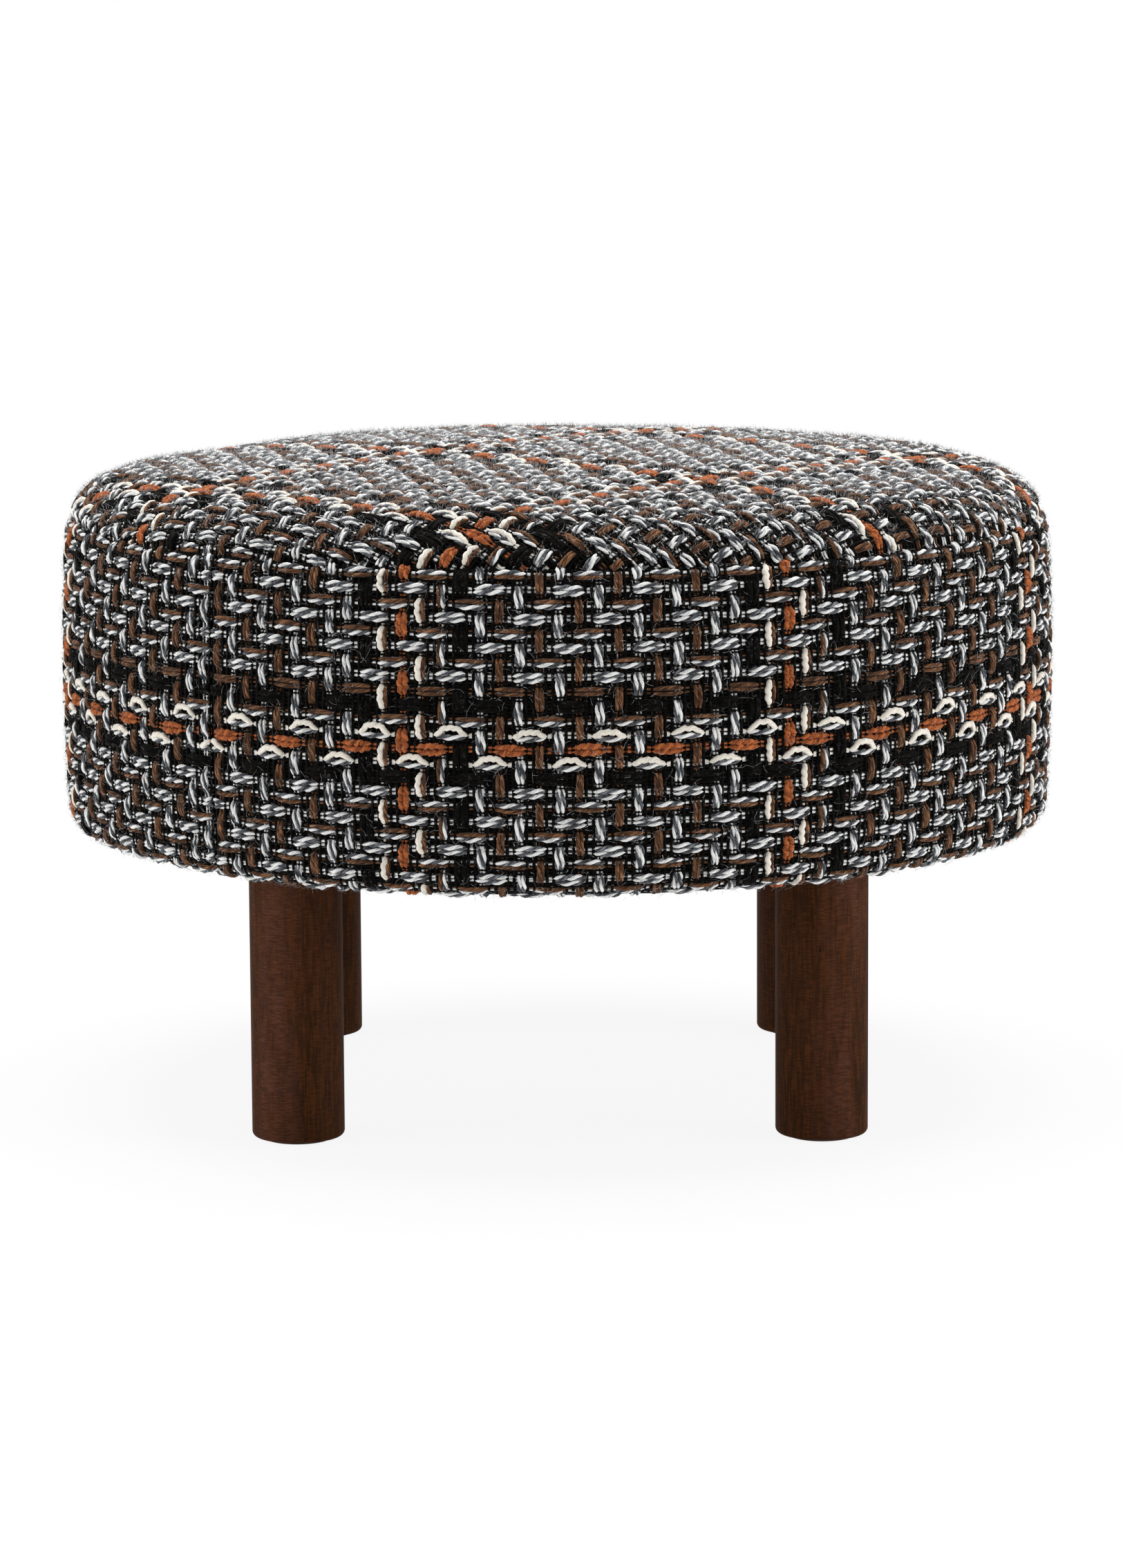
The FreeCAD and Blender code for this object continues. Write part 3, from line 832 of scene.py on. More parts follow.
def side_families(form, weave, section):
    """Wefts and warps of the side. Places across are lengths round the drum from the front upright seam,
    and places down are lengths from the ring seam."""
    columns = weave.panel_columns
    pitch = math.pi * form.drum_radius / columns
    deep = section.total - section.seam
    zero = weave.first_row - weave.side_row / 2
    rows = np.arange(round((deep - weave.first_row) / weave.side_row))
    row, panel = (a.ravel() for a in np.meshgrid(rows, (0, 1), indexing="ij"))

    def laid(across, down):
        return form.side_seam + across / form.drum_radius, section.seam + down

    weft = Family(
        middle=weave.first_row + row * weave.side_row,
        start=panel * columns + WEFT_TUCK,
        stop=(panel + 1) * columns - WEFT_TUCK,
        pitch=pitch, zero=0.0, first=1 - row,
        dive=WEFT_DIVE, bow=SIDE_WEFT_BOW, sink=WEFT_SINK,
        panel=SIDE_PANELS[panel], lay=laid,
    )
    column = np.arange(2 * columns)
    ends = np.ones(len(column))
    warp = Family(
        middle=(column + 0.5) * pitch,
        start=ends * (WARP_TUCK - zero) / weave.side_row,
        stop=ends * (deep - zero) / weave.side_row,
        pitch=weave.side_row, zero=zero, first=3 - column,
        dive=WARP_DIVE, bow=WARP_BOW, sink=WARP_SINK,
        panel=SIDE_PANELS[column // columns], lay=lambda along, across: laid(across, along),
    )
    panel_line = np.where(column < columns, weave.front_warp_line, weave.rear_warp_line + columns)
    letters = {
        "weft": [WEFT_REPEAT[r % len(WEFT_REPEAT)] for r in row],
        "warp": [WARP_REPEAT[(c - f) % len(WARP_REPEAT)] for c, f in zip(column, panel_line)],
    }
    return {"weft": weft, "warp": warp}, letters


def top_families(weave, section):
    """Wefts and warps of the top, on a flat disc whose radius is the length along the section."""
    reach = section.seam + TOP_LAP

    def lines(place, pitch):
        """Numbers and middles of the yarns that cross the disc, counted from the stripe at place."""
        number = np.arange(math.ceil((-reach - place) / pitch), math.floor((reach - place) / pitch) + 1)
        return number, place + number * pitch

    def laid(across, down):
        return weave.top_turn + np.arctan2(-down, across), np.hypot(across, down)

    def family(middle, place, pitch, **rest):
        """Yarns at these middles, over crossings that are counted from the stripe at place."""
        half = np.sqrt(reach**2 - middle**2)
        zero = place - 0.5 * pitch
        start, stop = (-half - zero) / pitch, (half - zero) / pitch
        panel = np.full(len(middle), "top")
        return Family(middle=middle, start=start, stop=stop, pitch=pitch, zero=zero, panel=panel, **rest)

    row, row_middle = lines(weave.top_weft_line, weave.top_row)
    column, column_middle = lines(weave.top_warp_line, weave.top_column)
    weft = family(
        row_middle, weave.top_warp_line, weave.top_column,
        first=1 - row, dive=WEFT_DIVE, bow=TOP_WEFT_BOW, sink=WEFT_SINK, lay=laid,
    )
    warp = family(
        column_middle, weave.top_weft_line, weave.top_row,
        first=3 - column, dive=WARP_DIVE, bow=WARP_BOW, sink=WARP_SINK,
        lay=lambda along, across: laid(across, along),
    )
    orange_row = WEFT_REPEAT.index("F")
    letters = {
        "weft": [WEFT_REPEAT[(r + orange_row) % len(WEFT_REPEAT)] for r in row],
        "warp": [WARP_REPEAT[c % len(WARP_REPEAT)] for c in column],
    }
    return {"weft": weft, "warp": warp}, letters


def weave_panels(families, letters, weave, colours, section):
    """Makes the yarn pieces, one for each ply of the wefts and of the warps of each panel."""
    draw = np.random.default_rng(weave.seed)
    for name, family in families.items():
        found = {}
        for yarn, letter in enumerate(letters[name]):
            for hand, kind in zip((-1, 1), PAIRS[name][letter]):
                found.setdefault((str(family.panel[yarn]), kind), []).append((yarn, hand))
        for (place, kind), picked in sorted(found.items()):
            made = strands(family, kind, np.array(picked), weave, section, draw)
            for ply, ply_tubes in zip(SPINS[kind].plies, made):
                put_piece(f"{place}_{name}_{ply}", *ply_tubes, "tweed", yarn_finish(ply, colours))


def crowded(rings, crowd):
    """Shares of a length that crowd to its ends: s - crowd sin(2 pi s) / (2 pi) with even s."""
    even = np.linspace(0.0, 1.0, rings)
    return even - crowd * np.sin(2 * np.pi * even) / (2 * np.pi)


def bent(rings, section):
    """Shares of the length from the ring seam to the hem, close where the section turns and near the seam.

    They are even steps of the slope's change, plus a tenth of a radian for each 10 mm and 0.6 at the seam.
    """
    length = np.linspace(section.seam, section.total, 600)
    near = np.exp(-(length - section.seam) / (2.0 * section.form.seam_width))
    run = -section.at(length)[2] + 10.0 * length - 0.6 * near
    return np.interp(np.linspace(run[0], run[-1], rings), run, np.linspace(0.0, 1.0, len(run)))


def binding_threads(family, share, radius, spaced, weave, section):
    """Black threads on both sides of each yarn, at a share of the pitch from its middle.

    They are straight and three-sided with a flat face up, half a radius above their middle. All those
    faces lie at one height, so floats bury them and they bind down what runs below its crossings.
    """
    pitch = np.diff(np.unique(family.middle)).min()
    middle = (family.middle[:, None] + pitch * share * np.array([-1, 1])).ravel()
    start, stop = (np.repeat(ends, 2)[:, None] for ends in (family.start, family.stop))
    along = family.zero + (start + (stop - start) * spaced) * family.pitch
    wave = 2 * np.pi * along / THREAD_WAVE + 5.0 * np.arange(len(middle))[:, None]
    angle, length = family.lay(along, middle[:, None] + THREAD_WANDER * np.sin(wave))
    centres, normals = section.place(angle, length, weave.thread_top - radius / 2 - weave.cloth_depth)
    return tubes(centres, normals, np.full(along.shape, radius), 3)


def loose_fibres(across, down, highest, lay, weave, section, draw):
    """Fine curled fibres that lie on the yarns.

    Each is a bent line of three rings, 2 to 7 mm long, that starts among the yarn crests, runs off in a
    random direction, turns on its way by a random amount and rises to its tip, by highest at most.
    """
    count = len(across)
    share = np.linspace(0.0, 1.0, 3)
    reach = draw.uniform(2.0, 7.0, (count, 1)) * MM
    heading = draw.uniform(0.0, 2.0 * np.pi, (count, 1)) + draw.uniform(-1.5, 1.5, (count, 1)) * share
    rise = draw.uniform(0.2 * MM, highest, (count, 1)) * share + draw.uniform(-0.8, 1.0, (count, 1)) * MM
    step = reach / (len(share) - 1)
    ahead = np.cumsum(np.cos(heading), axis=1) * step
    aside = np.cumsum(np.sin(heading), axis=1) * step
    angle, length = lay(across[:, None] + ahead, down[:, None] + aside)
    centres, normals = section.place(angle, np.clip(length, 0.0, section.total), rise)
    radius = weave.fibre_radius * draw.uniform(0.7, 1.3, (count, 1)) * (1.0 - 0.5 * share)
    return tubes(centres, normals, radius, 3)


def napped(across, down, families, letters):
    """The places that don't lie on a black or an orange yarn, which carry no pale nap."""
    keep = np.ones(len(across), bool)
    for name, place in (("weft", down), ("warp", across)):
        middle = families[name].middle
        bare = middle[np.isin(letters[name], BARE_LETTERS)]
        half = np.diff(np.unique(middle)).min() / 2
        keep &= np.abs(place[:, None] - bare).min(axis=1) > half
    return across[keep], down[keep]


def standing_fibres(across, down, tallest, lay, weave, section, draw):
    """A nap of short straight fibres, each a thin pyramid of four faces.

    Its root is a triangle among the yarn crests, and its tip stands a quarter of tallest to tallest higher,
    up to 3 mm aside. The bake map gives each fibre a cell of one square grid.
    """
    count = len(across)
    heading = draw.uniform(0.0, 2.0 * np.pi, count)
    lean = draw.uniform(0.6, 3.0, count) * MM
    root = draw.uniform(-0.6, 0.8, count) * MM
    rise = draw.uniform(0.25, 1.0, count) * tallest
    thick = weave.nap_radius * draw.uniform(0.6, 1.3, count)
    turn = heading + 2.0 * np.pi * np.arange(3)[:, None] / 3
    ahead = np.concatenate([thick * np.cos(turn), [lean * np.cos(heading)]])
    aside = np.concatenate([thick * np.sin(turn), [lean * np.sin(heading)]])
    height = np.concatenate([np.tile(root, (3, 1)), [root + rise]])
    angle, length = lay(across + ahead, down + aside)
    points = section.place(angle, np.clip(length, 0.0, section.total), height)[0]
    first = np.arange(count)[:, None, None]
    corners = np.array([[0, 1, 3], [1, 2, 3], [2, 0, 3], [2, 1, 0]]) * count + first
    edge = math.ceil(math.sqrt(count))
    cell = np.stack([np.arange(count) % edge, np.arange(count) // edge], -1)[:, None, None]
    bake = (cell + np.array([[0.2, 0.2], [0.8, 0.2], [0.5, 0.8]])) / edge
    bake = np.broadcast_to(bake, (count, 4, 3, 2)).reshape(-1, 2)
    starts = np.arange(count * 4) * 3
    return Tubes(points.reshape(-1, 3), corners.ravel(), starts, {BAKE_MAP: bake})


def grid(rows, columns, round_rows, round_columns):
    """Quads of a grid of points, joined round where asked, as face corners."""
    row = np.arange(rows if round_rows else rows - 1)[:, None]
    column = np.arange(columns if round_columns else columns - 1)
    below, beside = (row + 1) % rows, (column + 1) % columns
    quads = [
        row * columns + column,
        below * columns + column,
        below * columns + beside,
        row * columns + beside,
    ]
    return np.stack(quads, -1).reshape(-1, 4)


def close_poles(piece):
    """Merges the points that meet at a pole or along a joined edge."""
    shape = bmesh.new()
    shape.from_mesh(piece.data)
    bmesh.ops.remove_doubles(shape, verts=shape.verts, dist=1e-7)
    shape.to_mesh(piece.data)
    shape.free()
    piece.data.shade_smooth()


def turned_piece(name, points, slot, material, open_ends=False):
    """A closed section, the rows of points, carried round the upright axis, the columns.

    With open_ends it stops at its first and last columns, which are then closed with flat faces.
    """
    rows, columns = points.shape[:2]
    quads = grid(rows, columns, True, not open_ends)
    corners, starts = quads.ravel(), np.arange(len(quads)) * 4
    if open_ends:
        first = np.arange(rows)[::-1] * columns
        last = np.arange(rows) * columns + columns - 1
        starts = np.concatenate([starts, corners.size + np.array([0, rows])])
        corners = np.concatenate([corners, first, last])
    piece = put_piece(name, points.reshape(-1, 3), corners, starts, {}, slot, material)
    close_poles(piece)
    return piece


def layer(section, start, stop, angles, outer, inner, steps):
    """A layer of the upholstery: out along the section at one height and back at a deeper one."""
    length = np.linspace(start, stop, steps)
    there_and_back = np.concatenate([length, length[::-1]])[:, None]
    height = np.repeat([outer, inner], steps)[:, None]
    shape = (2 * steps, len(angles))
    return section.place(*(np.broadcast_to(a, shape) for a in (angles, there_and_back, height)))[0]


def revolved(r, z, angles):
    """Points of a section of radii and heights carried round the upright axis."""
    r, z = r[:, None], z[:, None]
    return np.stack([r * np.cos(angles), r * np.sin(angles), z + 0.0 * angles], -1)


def dust_sheet(form):
    """The cloth under the base, in four quarters, each a grid from a leg's hole out to the quarter's edge.

    A point lies on the ray from the leg's middle at angle t, at distance hole + s (edge - hole), where
    edge is the nearest of the two cuts between quarters and the cloth's round rim. It hangs lower where it
    laps the hem, and has small ripples.
    """
    rim = DUST_HIGH.x
    leg = (LEG_HIGH.x + LEG_LOW.x) / 2
    hole = (LEG_HIGH.x - LEG_LOW.x) / 2 + 1.0 * MM
    corners = [math.atan2(-leg, -leg), math.atan2(rim - leg, -leg), math.atan2(-leg, rim - leg)]
    turn = np.unique(np.concatenate([np.linspace(-math.pi, math.pi, 96, endpoint=False), corners]))
    cos, sin = np.cos(turn), np.sin(turn)
    cuts = [np.where(c < 0, -leg / np.where(c < 0, c, -1.0), np.inf) for c in (cos, sin)]
    lean = leg * (cos + sin)
    round_rim = -lean + np.sqrt(lean**2 - 2 * leg**2 + rim**2)
    edge = np.minimum(np.minimum(*cuts), round_rim)
    share = np.linspace(0.0, 1.0, 16)[:, None]
    reach = hole + share * (edge - hole)
    x, y = leg + reach * cos, leg + reach * sin
    radius, angle = np.hypot(x, y), np.arctan2(y, x)
    lap = smooth_step((radius - form.hem_radius + DUST_LAP) / DUST_LAP)
    high, low = DUST_HIGH.z - 1.0 * MM, DUST_LOW.z - 0.2 * MM
    ripple = 0.21 * MM * np.sin(40 * angle) * lap + 0.18 * MM * np.sin(61 * x) * np.sin(53 * y)
    z = high + (low - high) * lap + ripple
    quarter = np.stack([x, y, z], -1)
    quads = grid(*quarter.shape[:2], False, True)
    points, faces = [], []
    for number, (across, along) in enumerate(((1, 1), (-1, 1), (-1, -1), (1, -1))):
        points.append((quarter * (across, along, 1)).reshape(-1, 3))
        faces.append((quads if across * along < 0 else quads[:, ::-1]) + number * quarter[..., 0].size)
    return np.concatenate(points), np.concatenate(faces)


def staple_tubes(form):
    """Wire staples round the edge of the underside cloth: up, across and up again, with bent corners."""
    count, half, deep, bend, wire = 44, 5.0 * MM, 4.0 * MM, 0.6 * MM, 0.45 * MM
    ring = (form.hem_radius + DUST_HIGH.x) / 2
    across = np.array([-half, -half, -half + bend, half - bend, half, half])
    level = DUST_LOW.z - 0.5 * MM
    height = level + np.array([deep, bend, 0.0, 0.0, bend, deep])
    angle = 2 * np.pi * np.arange(count)[:, None] / count
    x = ring * np.cos(angle) - across * np.sin(angle)
    y = ring * np.sin(angle) + across * np.cos(angle)
    centres = np.stack([x, y, np.broadcast_to(height, x.shape)], -1)
    out = np.stack([np.cos(angle), np.sin(angle), np.zeros_like(angle)], -1)
    normals = np.broadcast_to(out, centres.shape)
    return tubes(centres, normals, np.full(x.shape, wire), 6)


def cloth_finish(colours):
    """The dark ground cloth under the yarns."""
    tones = [shade(colours.black, share) for share in (0.6, 0.8, 1.0)]
    return grained("ground_cloth", tones, 900.0, 0.1 * MM, 0.75, BLACK_FABRIC, stray=colours.stray)


def thread_finish(colours):
    """The thin black binding threads."""
    tones = [shade(colours.black, share) for share in (0.8, 1.0, 1.5)]
    return grained("binding_thread", tones, 600.0, 0.05 * MM, 0.7, BLACK_FABRIC, stray=colours.stray)


def fibre_finish(colours):
    """The loose fibres and the nap, which are too thin for relief."""
    tones = [shade(colours.fibre, share) for share in (0.55, 0.9, 1.2)]
    return grained("loose_fibre", tones, 300.0, 0.0, 0.6, FABRIC, bump=0.0)


def frame_finishes(colours):
    """Finishes of the nodes that stay as packed, by the start of their names."""

    def grain(name, dark, light, *rest):
        return grained(name, (dark, blend(dark, light, 0.5), light), *rest)

    ply = grain("birch_ply", paint(176, 140, 98), paint(214, 184, 140), 40.0, 0.1 * MM, 0.55, MATT, 6.0)
    pine = grain("planed_pine", paint(198, 156, 104), paint(230, 196, 146), 60.0, 0.1 * MM, 0.5, MATT, 0.05)
    zinc = grain("zinc_plate", paint(150, 152, 156), paint(196, 198, 204), 500.0, 0.02 * MM, 0.3, METAL)
    return {
        "leg_": finish("stained_leg", wood_recipe(colours), STAIN),
        "foot_pad": grain("grey_felt", paint(66, 62, 58), paint(98, 92, 86), 700.0, 0.3 * MM, 0.85, MATT),
        "drum_wall": grain("hardboard", paint(92, 62, 38), paint(124, 88, 56), 300.0, 0.1 * MM, 0.6, MATT),
        "batten": pine,
        **dict.fromkeys(("leg_block", "top_board", "base_board"), ply),
        **dict.fromkeys(("tee_nuts", "hanger_bolts"), zinc),
        **dict.fromkeys(("top_board_screws", "base_board_screws", "leg_block_screws"), zinc),
    }


def design(context):
    """The form, the weave, the colours and the form's section."""
    scene = context.scene
    return scene.pouf_form, scene.pouf_weave, scene.pouf_colours, Section(scene.pouf_form)


class POUF_OT_covers(bpy.types.Operator):
    """Makes the three ground cloth panels that carry the yarns"""

    bl_idname = "pouf.covers"
    bl_label = "Covers"

    def execute(self, context):
        form, weave, colours, section = design(context)
        material = cloth_finish(colours)
        outer, inner = weave.ground - weave.cloth_depth, -weave.cloth_depth - CLOTH_BACK
        turn = np.linspace(0.0, 2 * np.pi, TOP_AROUND, endpoint=False)
        points = layer(section, 0.0, section.seam, turn, outer, inner, TOP_STEPS)
        top = turned_piece("top_cover_cloth", points, "tweed", material)
        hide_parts("top_cover")
        for number, node in enumerate(("side_cover_front", "side_cover_rear")):
            begin = form.side_seam + number * math.pi
            turn = np.linspace(begin, begin + math.pi, SIDE_AROUND)
            points = layer(section, section.seam, section.total, turn, outer, inner, SIDE_STEPS)
            side = turned_piece(f"{node}_cloth", points, "tweed", material, open_ends=True)
            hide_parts(node)
        return {"FINISHED"}


class POUF_OT_side_yarns(bpy.types.Operator):
    """Weaves the wefts and warps of the two side panels"""

    bl_idname = "pouf.side_yarns"
    bl_label = "Side yarns"

    def execute(self, context):
        form, weave, colours, section = design(context)
        weave_panels(*side_families(form, weave, section), weave, colours, section)
        return {"FINISHED"}


class POUF_OT_top_yarns(bpy.types.Operator):
    """Weaves the wefts and warps of the top panel"""

    bl_idname = "pouf.top_yarns"
    bl_label = "Top yarns"

    def execute(self, context):
        _, weave, colours, section = design(context)
        weave_panels(*top_families(weave, section), weave, colours, section)
        return {"FINISHED"}


class POUF_OT_threads(bpy.types.Operator):
    """Makes the thin black threads that bind the yarns"""

    bl_idname = "pouf.threads"
    bl_label = "Binding threads"

    def execute(self, context):
        form, weave, colours, section = design(context)
        panels = {
            "side": side_families(form, weave, section)[0],
            "top": top_families(weave, section)[0],
        }
        radii = {"weft": weave.weft_thread, "warp": weave.warp_thread}
        spaced = {
            "side_weft": np.linspace(0.0, 1.0, WEFT_THREAD_RINGS),
            "side_warp": bent(WARP_THREAD_RINGS, section),
            "top_weft": crowded(WEFT_THREAD_RINGS, THREAD_CROWD),
            "top_warp": crowded(WARP_THREAD_RINGS, THREAD_CROWD),
        }
        for place, families in panels.items():
            for name, family in families.items():
                places = spaced[f"{place}_{name}"]
                made = binding_threads(family, THREAD_SHARES[name], radii[name], places, weave, section)
                put_piece(f"{place}_{name}_threads", *made, "tweed", thread_finish(colours))
        return {"FINISHED"}


class POUF_OT_fibres(bpy.types.Operator):
    """Makes the loose fibres that stand off the cloth"""

    bl_idname = "pouf.fibres"
    bl_label = "Loose fibres"

    def execute(self, context):
        form, weave, colours, section = design(context)
        draw = np.random.default_rng(weave.seed + 1)
        material = fibre_finish(colours)
        side, top = side_families(form, weave, section), top_families(weave, section)
        around, over = side[0]["weft"].lay, top[0]["weft"].lay
        deep = section.total - section.seam

        def on_side(count, high, low):
            return draw.uniform(0.0, 2 * np.pi * form.drum_radius, count), draw.uniform(high, low, count)

        def on_top(count):
            reach = section.seam * np.sqrt(draw.uniform(0.0, SEAT_SHARE, count))
            turn = draw.uniform(0.0, 2 * np.pi, count)
            return reach * np.cos(turn), reach * np.sin(turn)

        common = (weave, section, draw)
        low = deep - BARE_STRIP
        made = {}
        spots = on_side(weave.side_fibres, 0.0, low)
        made["side_fibres"] = loose_fibres(*spots, LOOSE_RISE, around, *common)
        spots = on_side(weave.foot_fibres, low - FOOT_STRIP, low)
        made["foot_fibres"] = loose_fibres(*spots, FOOT_RISE, around, *common)
        spots = on_top(weave.top_fibres)
        made["top_fibres"] = loose_fibres(*spots, LOOSE_RISE, over, *common)
        spots = napped(*on_side(weave.side_nap, 0.0, low), *side)
        made["side_nap"] = standing_fibres(*spots, SIDE_NAP_RISE, around, *common)
        spots = napped(*on_top(weave.top_nap), *top)
        made["top_nap"] = standing_fibres(*spots, TOP_NAP_RISE, over, *common)
        for name, piece in made.items():
            put_piece(name, *piece, "tweed", material)
        return {"FINISHED"}


class POUF_OT_padding(bpy.types.Operator):
    """Makes the wadding, the seat foam and the side foam"""

    bl_idname = "pouf.padding"
    bl_label = "Padding"

    def execute(self, context):
        form, weave, _, section = design(context)
        turn = np.linspace(0.0, 2 * np.pi, PAD_AROUND, endpoint=False)
        tones = paint(206, 206, 202), paint(238, 238, 234)
        fleece = grained("fleece", tones, 260.0, 0.4 * MM, 0.85, FABRIC)
        tones = paint(206, 196, 150), paint(236, 228, 188)
        foam = grained("foam", tones, 420.0, 0.4 * MM, 0.8, MATT)
        outer = -weave.cloth_depth - WADDING_FACE
        hem = section.total - (form.drum_radius - form.side_bulge - form.bottom_edge - form.hem_radius)
        back = outer - WADDING_THICKNESS
        points = layer(section, 0.0, hem - WADDING_END, turn, outer, back, WADDING_STEPS)
        wadding = turned_piece("wadding_fleece", points, "wadding", fleece)
        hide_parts("wadding")

        # The seat foam follows the section at an even inset, down to its flat underside
        low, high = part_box("seat_foam")
        inset = form.overall_height - high.z
        r, z, slope = section.at(np.linspace(0.0, section.seam + SEAT_FOAM_LAP, SEAT_STEPS))
        r, z = r - inset * np.cos(slope), z - inset * np.sin(slope)
        r, z = r[z > low.z], z[z > low.z]
        r, z = np.concatenate([r, [r[-1], 0.0]]), np.concatenate([z, [low.z, low.z]])
        seat = turned_piece("seat_foam_pad", revolved(r, z, turn), "foam", foam)
        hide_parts("seat_foam")

        # The side foam's section is a superellipse: cos t and sin t, each to the power of bend, with its sign
        low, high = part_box("side_foam")
        wall = SIDE_FOAM_THICKNESS
        around = np.linspace(0.0, -2 * np.pi, STRIP_STEPS, endpoint=False)
        bend = 0.25
        push = np.sign(np.cos(around)) * np.abs(np.cos(around)) ** bend
        lift = np.sign(np.sin(around)) * np.abs(np.sin(around)) ** bend
        r = high.x - wall / 2 + push * wall / 2
        z = (low.z + high.z) / 2 + lift * (high.z - low.z) / 2
        strip = turned_piece("side_foam_strip", revolved(r, z, turn), "foam", foam)
        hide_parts("side_foam")
        return {"FINISHED"}


class POUF_OT_underside(bpy.types.Operator):
    """Makes the cloth under the base and its staples"""

    bl_idname = "pouf.underside"
    bl_label = "Underside"

    def execute(self, context):
        form, colours = context.scene.pouf_form, context.scene.pouf_colours
        points, faces = dust_sheet(form)
        black = colours.black
        cloth = grained("dust_cloth", (black, shade(black, 1.6)), 800.0, 0.15 * MM, 0.7, MATT)
        sheet = put_piece("dust_cover_cloth", points, faces.ravel(), np.arange(len(faces)) * 4, {},
                          "dust_cloth", cloth)
        close_poles(sheet)
        thick = sheet.modifiers.new("Thickness", "SOLIDIFY")
        thick.thickness = 0.4 * MM
        thick.offset = 0.0
        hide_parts("dust_cover")
        wire = frame_finishes(colours)["tee_nuts"]
        staples = put_piece("dust_cover_staples", *staple_tubes(form), "zinc_steel", wire)
        return {"FINISHED"}


class POUF_OT_finishes(bpy.types.Operator):
    """Gives the legs and the inner frame their finishes"""

    bl_idname = "pouf.finishes"
    bl_label = "Frame finishes"

    def execute(self, context):
        finishes = frame_finishes(context.scene.pouf_colours)
        for name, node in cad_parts.items():
            start = max((s for s in finishes if name.startswith(s)), key=len, default=None)
            if start:
                node.data.materials.clear()
                node.data.materials.append(finishes[start])
        return {"FINISHED"}


# The softboxes' widths and places, the shares of the left and the right one's power, the point that all of
# them face, the camera's sensor, half the floor's width, and the squared distances on it between which its
# shadow fades out
KEY_WIDTH, KEY_PLACE = 2.4, (0.0, 0.25, 2.6)
FILL_WIDTH, FILL_ASIDE, FILL_FORWARD, FILL_HEIGHT = 1.8, 2.6, -0.85, 0.3
FILL_SHARES = ((-1, 1.0), (1, 1.22))
LIGHT_AIM = (0.0, 0.0, 0.25)
SENSOR_WIDTH = 36.0
FLOOR_HALF = 12.0
SHADOW_NEAR, SHADOW_FAR = 0.25, 1.6


def plain_light(name, watts, across, place):
    """A square softbox at place that faces the object."""
    lamp = bpy.data.lights.new(name, "AREA")
    lamp.energy = watts
    lamp.size = across
    holder = bpy.data.objects.new(name, lamp)
    holder.location = place
    away = [a - b for a, b in zip(place, LIGHT_AIM)]
    flat = math.hypot(away[0], away[1])
    holder.rotation_euler = (math.atan2(flat, away[2]), 0.0, math.atan2(away[0], -away[1]))
    bpy.context.scene.collection.objects.link(holder)


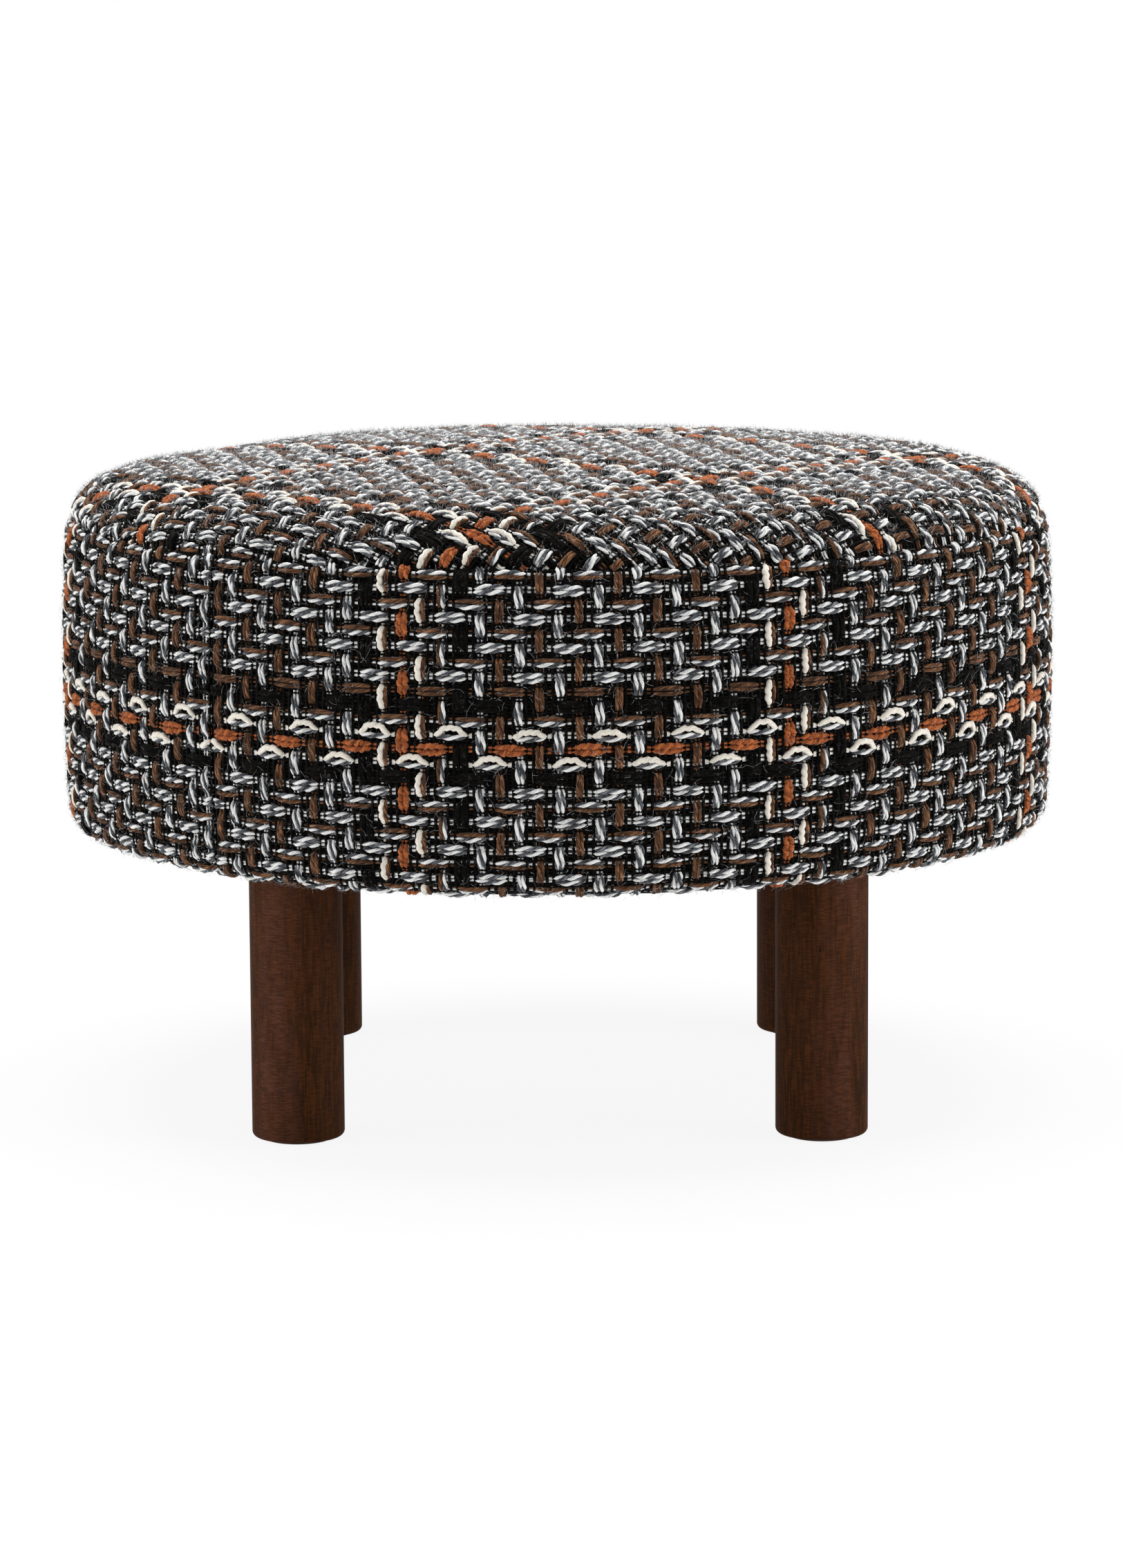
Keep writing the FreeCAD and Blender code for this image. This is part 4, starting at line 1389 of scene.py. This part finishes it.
class POUF_OT_stage(bpy.types.Operator):
    """Sets the pale floor, the soft light and the camera"""

    bl_idname = "pouf.stage"
    bl_label = "Stage"

    def execute(self, context):
        scene = context.scene
        setup = scene.pouf_stage
        scene.view_settings.view_transform = "Standard"
        self.light_world(scene, setup.sky)
        self.lay_floor(scene)
        plain_light("overhead_softbox", setup.key, KEY_WIDTH, KEY_PLACE)
        for side, share in FILL_SHARES:
            place = (side * FILL_ASIDE, FILL_FORWARD, FILL_HEIGHT)
            plain_light(f"side_softbox_{side + 1}", setup.fill * share, FILL_WIDTH, place)
        lens = bpy.data.cameras.new("photo_camera")
        lens.lens = setup.lens
        lens.sensor_width = SENSOR_WIDTH
        camera = bpy.data.objects.new("photo_camera", lens)
        camera.location = (0.0, -setup.distance, setup.height)
        aim = Euler((math.pi / 2 - setup.pitch, 0.0, setup.yaw)).to_matrix()
        camera.rotation_euler = (aim @ Euler((0.0, 0.0, setup.roll)).to_matrix()).to_euler()
        scene.collection.objects.link(camera)
        scene.camera = camera
        return {"FINISHED"}

    def light_world(self, scene, strength):
        """An even sky that the camera and mirrors see as white."""
        world = bpy.data.worlds.new("even_sky")
        world.use_nodes = True
        scene.world = world
        start = Wire(world.node_tree)
        seen = self.seen(start)
        sky = world.node_tree.nodes["Background"]
        sky.inputs["Color"].default_value = (1.0, 1.0, 1.0, 1.0)
        level = seen * (1.0 - strength) + strength
        world.node_tree.links.new(level.socket, sky.inputs["Strength"])

    def seen(self, start):
        """1 where the camera, a mirror or glass looks, and 0 for light that falls on things."""
        path = start.node("ShaderNodeLightPath", {}, {}).socket.node
        kinds = ("Camera", "Glossy", "Transmission")
        camera, mirror, glass = (Wire(start.tree, path.outputs[f"Is {kind} Ray"]) for kind in kinds)
        return camera.maths("MAXIMUM", camera, mirror.maths("MAXIMUM", mirror, glass))

    def lay_floor(self, scene):
        """A wide pale floor that keeps a light shadow near the object and is plain white further out."""
        half = FLOOR_HALF
        corners = [(-half, -half, 0), (half, -half, 0), (half, half, 0), (-half, half, 0)]
        mesh = bpy.data.meshes.new("floor")
        mesh.from_pydata(corners, [], [(0, 1, 2, 3)])
        material = bpy.data.materials.new("pale_floor")
        material.use_nodes = True
        tree = material.node_tree
        start = Wire(tree)
        shader = tree.nodes["Principled BSDF"]
        shader.inputs["Base Color"].default_value = (0.92, 0.92, 0.92, 1.0)
        shader.inputs["Roughness"].default_value = 0.9
        glow = start.node("ShaderNodeEmission", {}, {"Color": (1.0, 1.0, 1.0, 1.0), "Strength": 1.0})
        x, y, _ = object_places(start).parts()
        share = self.seen(start) * ((x * x + y * y).step(SHADOW_NEAR, SHADOW_FAR) * 0.1 + 0.9)
        mixed = start.node("ShaderNodeMixShader", {}, {0: share, 1: Wire(tree, shader.outputs[0]), 2: glow})
        tree.links.new(mixed.socket, tree.nodes["Material Output"].inputs["Surface"])
        mesh.materials.append(material)
        floor = bpy.data.objects.new("floor", mesh)
        scene.collection.objects.link(floor)


OPERATORS = (
    POUF_OT_covers, POUF_OT_side_yarns, POUF_OT_top_yarns, POUF_OT_threads, POUF_OT_fibres,
    POUF_OT_padding, POUF_OT_underside, POUF_OT_finishes, POUF_OT_stage,
)
GROUPS = {
    "pouf_form": PoufForm,
    "pouf_weave": PoufWeave,
    "pouf_colours": PoufColours,
    "pouf_stage": PoufStage,
}


class POUF_PT_panel(bpy.types.Panel):
    """Lists the pouf's operators and sizes"""

    bl_idname = "POUF_PT_panel"
    bl_label = "Round tweed pouf"
    bl_space_type = "VIEW_3D"
    bl_region_type = "UI"
    bl_category = "Pouf"

    def draw(self, context):
        for operator in OPERATORS:
            self.layout.operator(operator.bl_idname)
        for name, group in GROUPS.items():
            box = self.layout.box()
            for value in group.__annotations__:
                box.prop(getattr(context.scene, name), value)


CLASSES = (*GROUPS.values(), *OPERATORS, POUF_PT_panel)


def register():
    for each in CLASSES:
        bpy.utils.register_class(each)
    for name, group in GROUPS.items():
        setattr(bpy.types.Scene, name, PointerProperty(type=group))


def unregister():
    for name in GROUPS:
        delattr(bpy.types.Scene, name)
    for each in reversed(CLASSES):
        bpy.utils.unregister_class(each)


def main():
    """Registers the add-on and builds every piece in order."""
    register()
    for operator in OPERATORS:
        getattr(bpy.ops.pouf, operator.bl_idname.split(".")[1])()


if __name__ == "__main__":
    main()
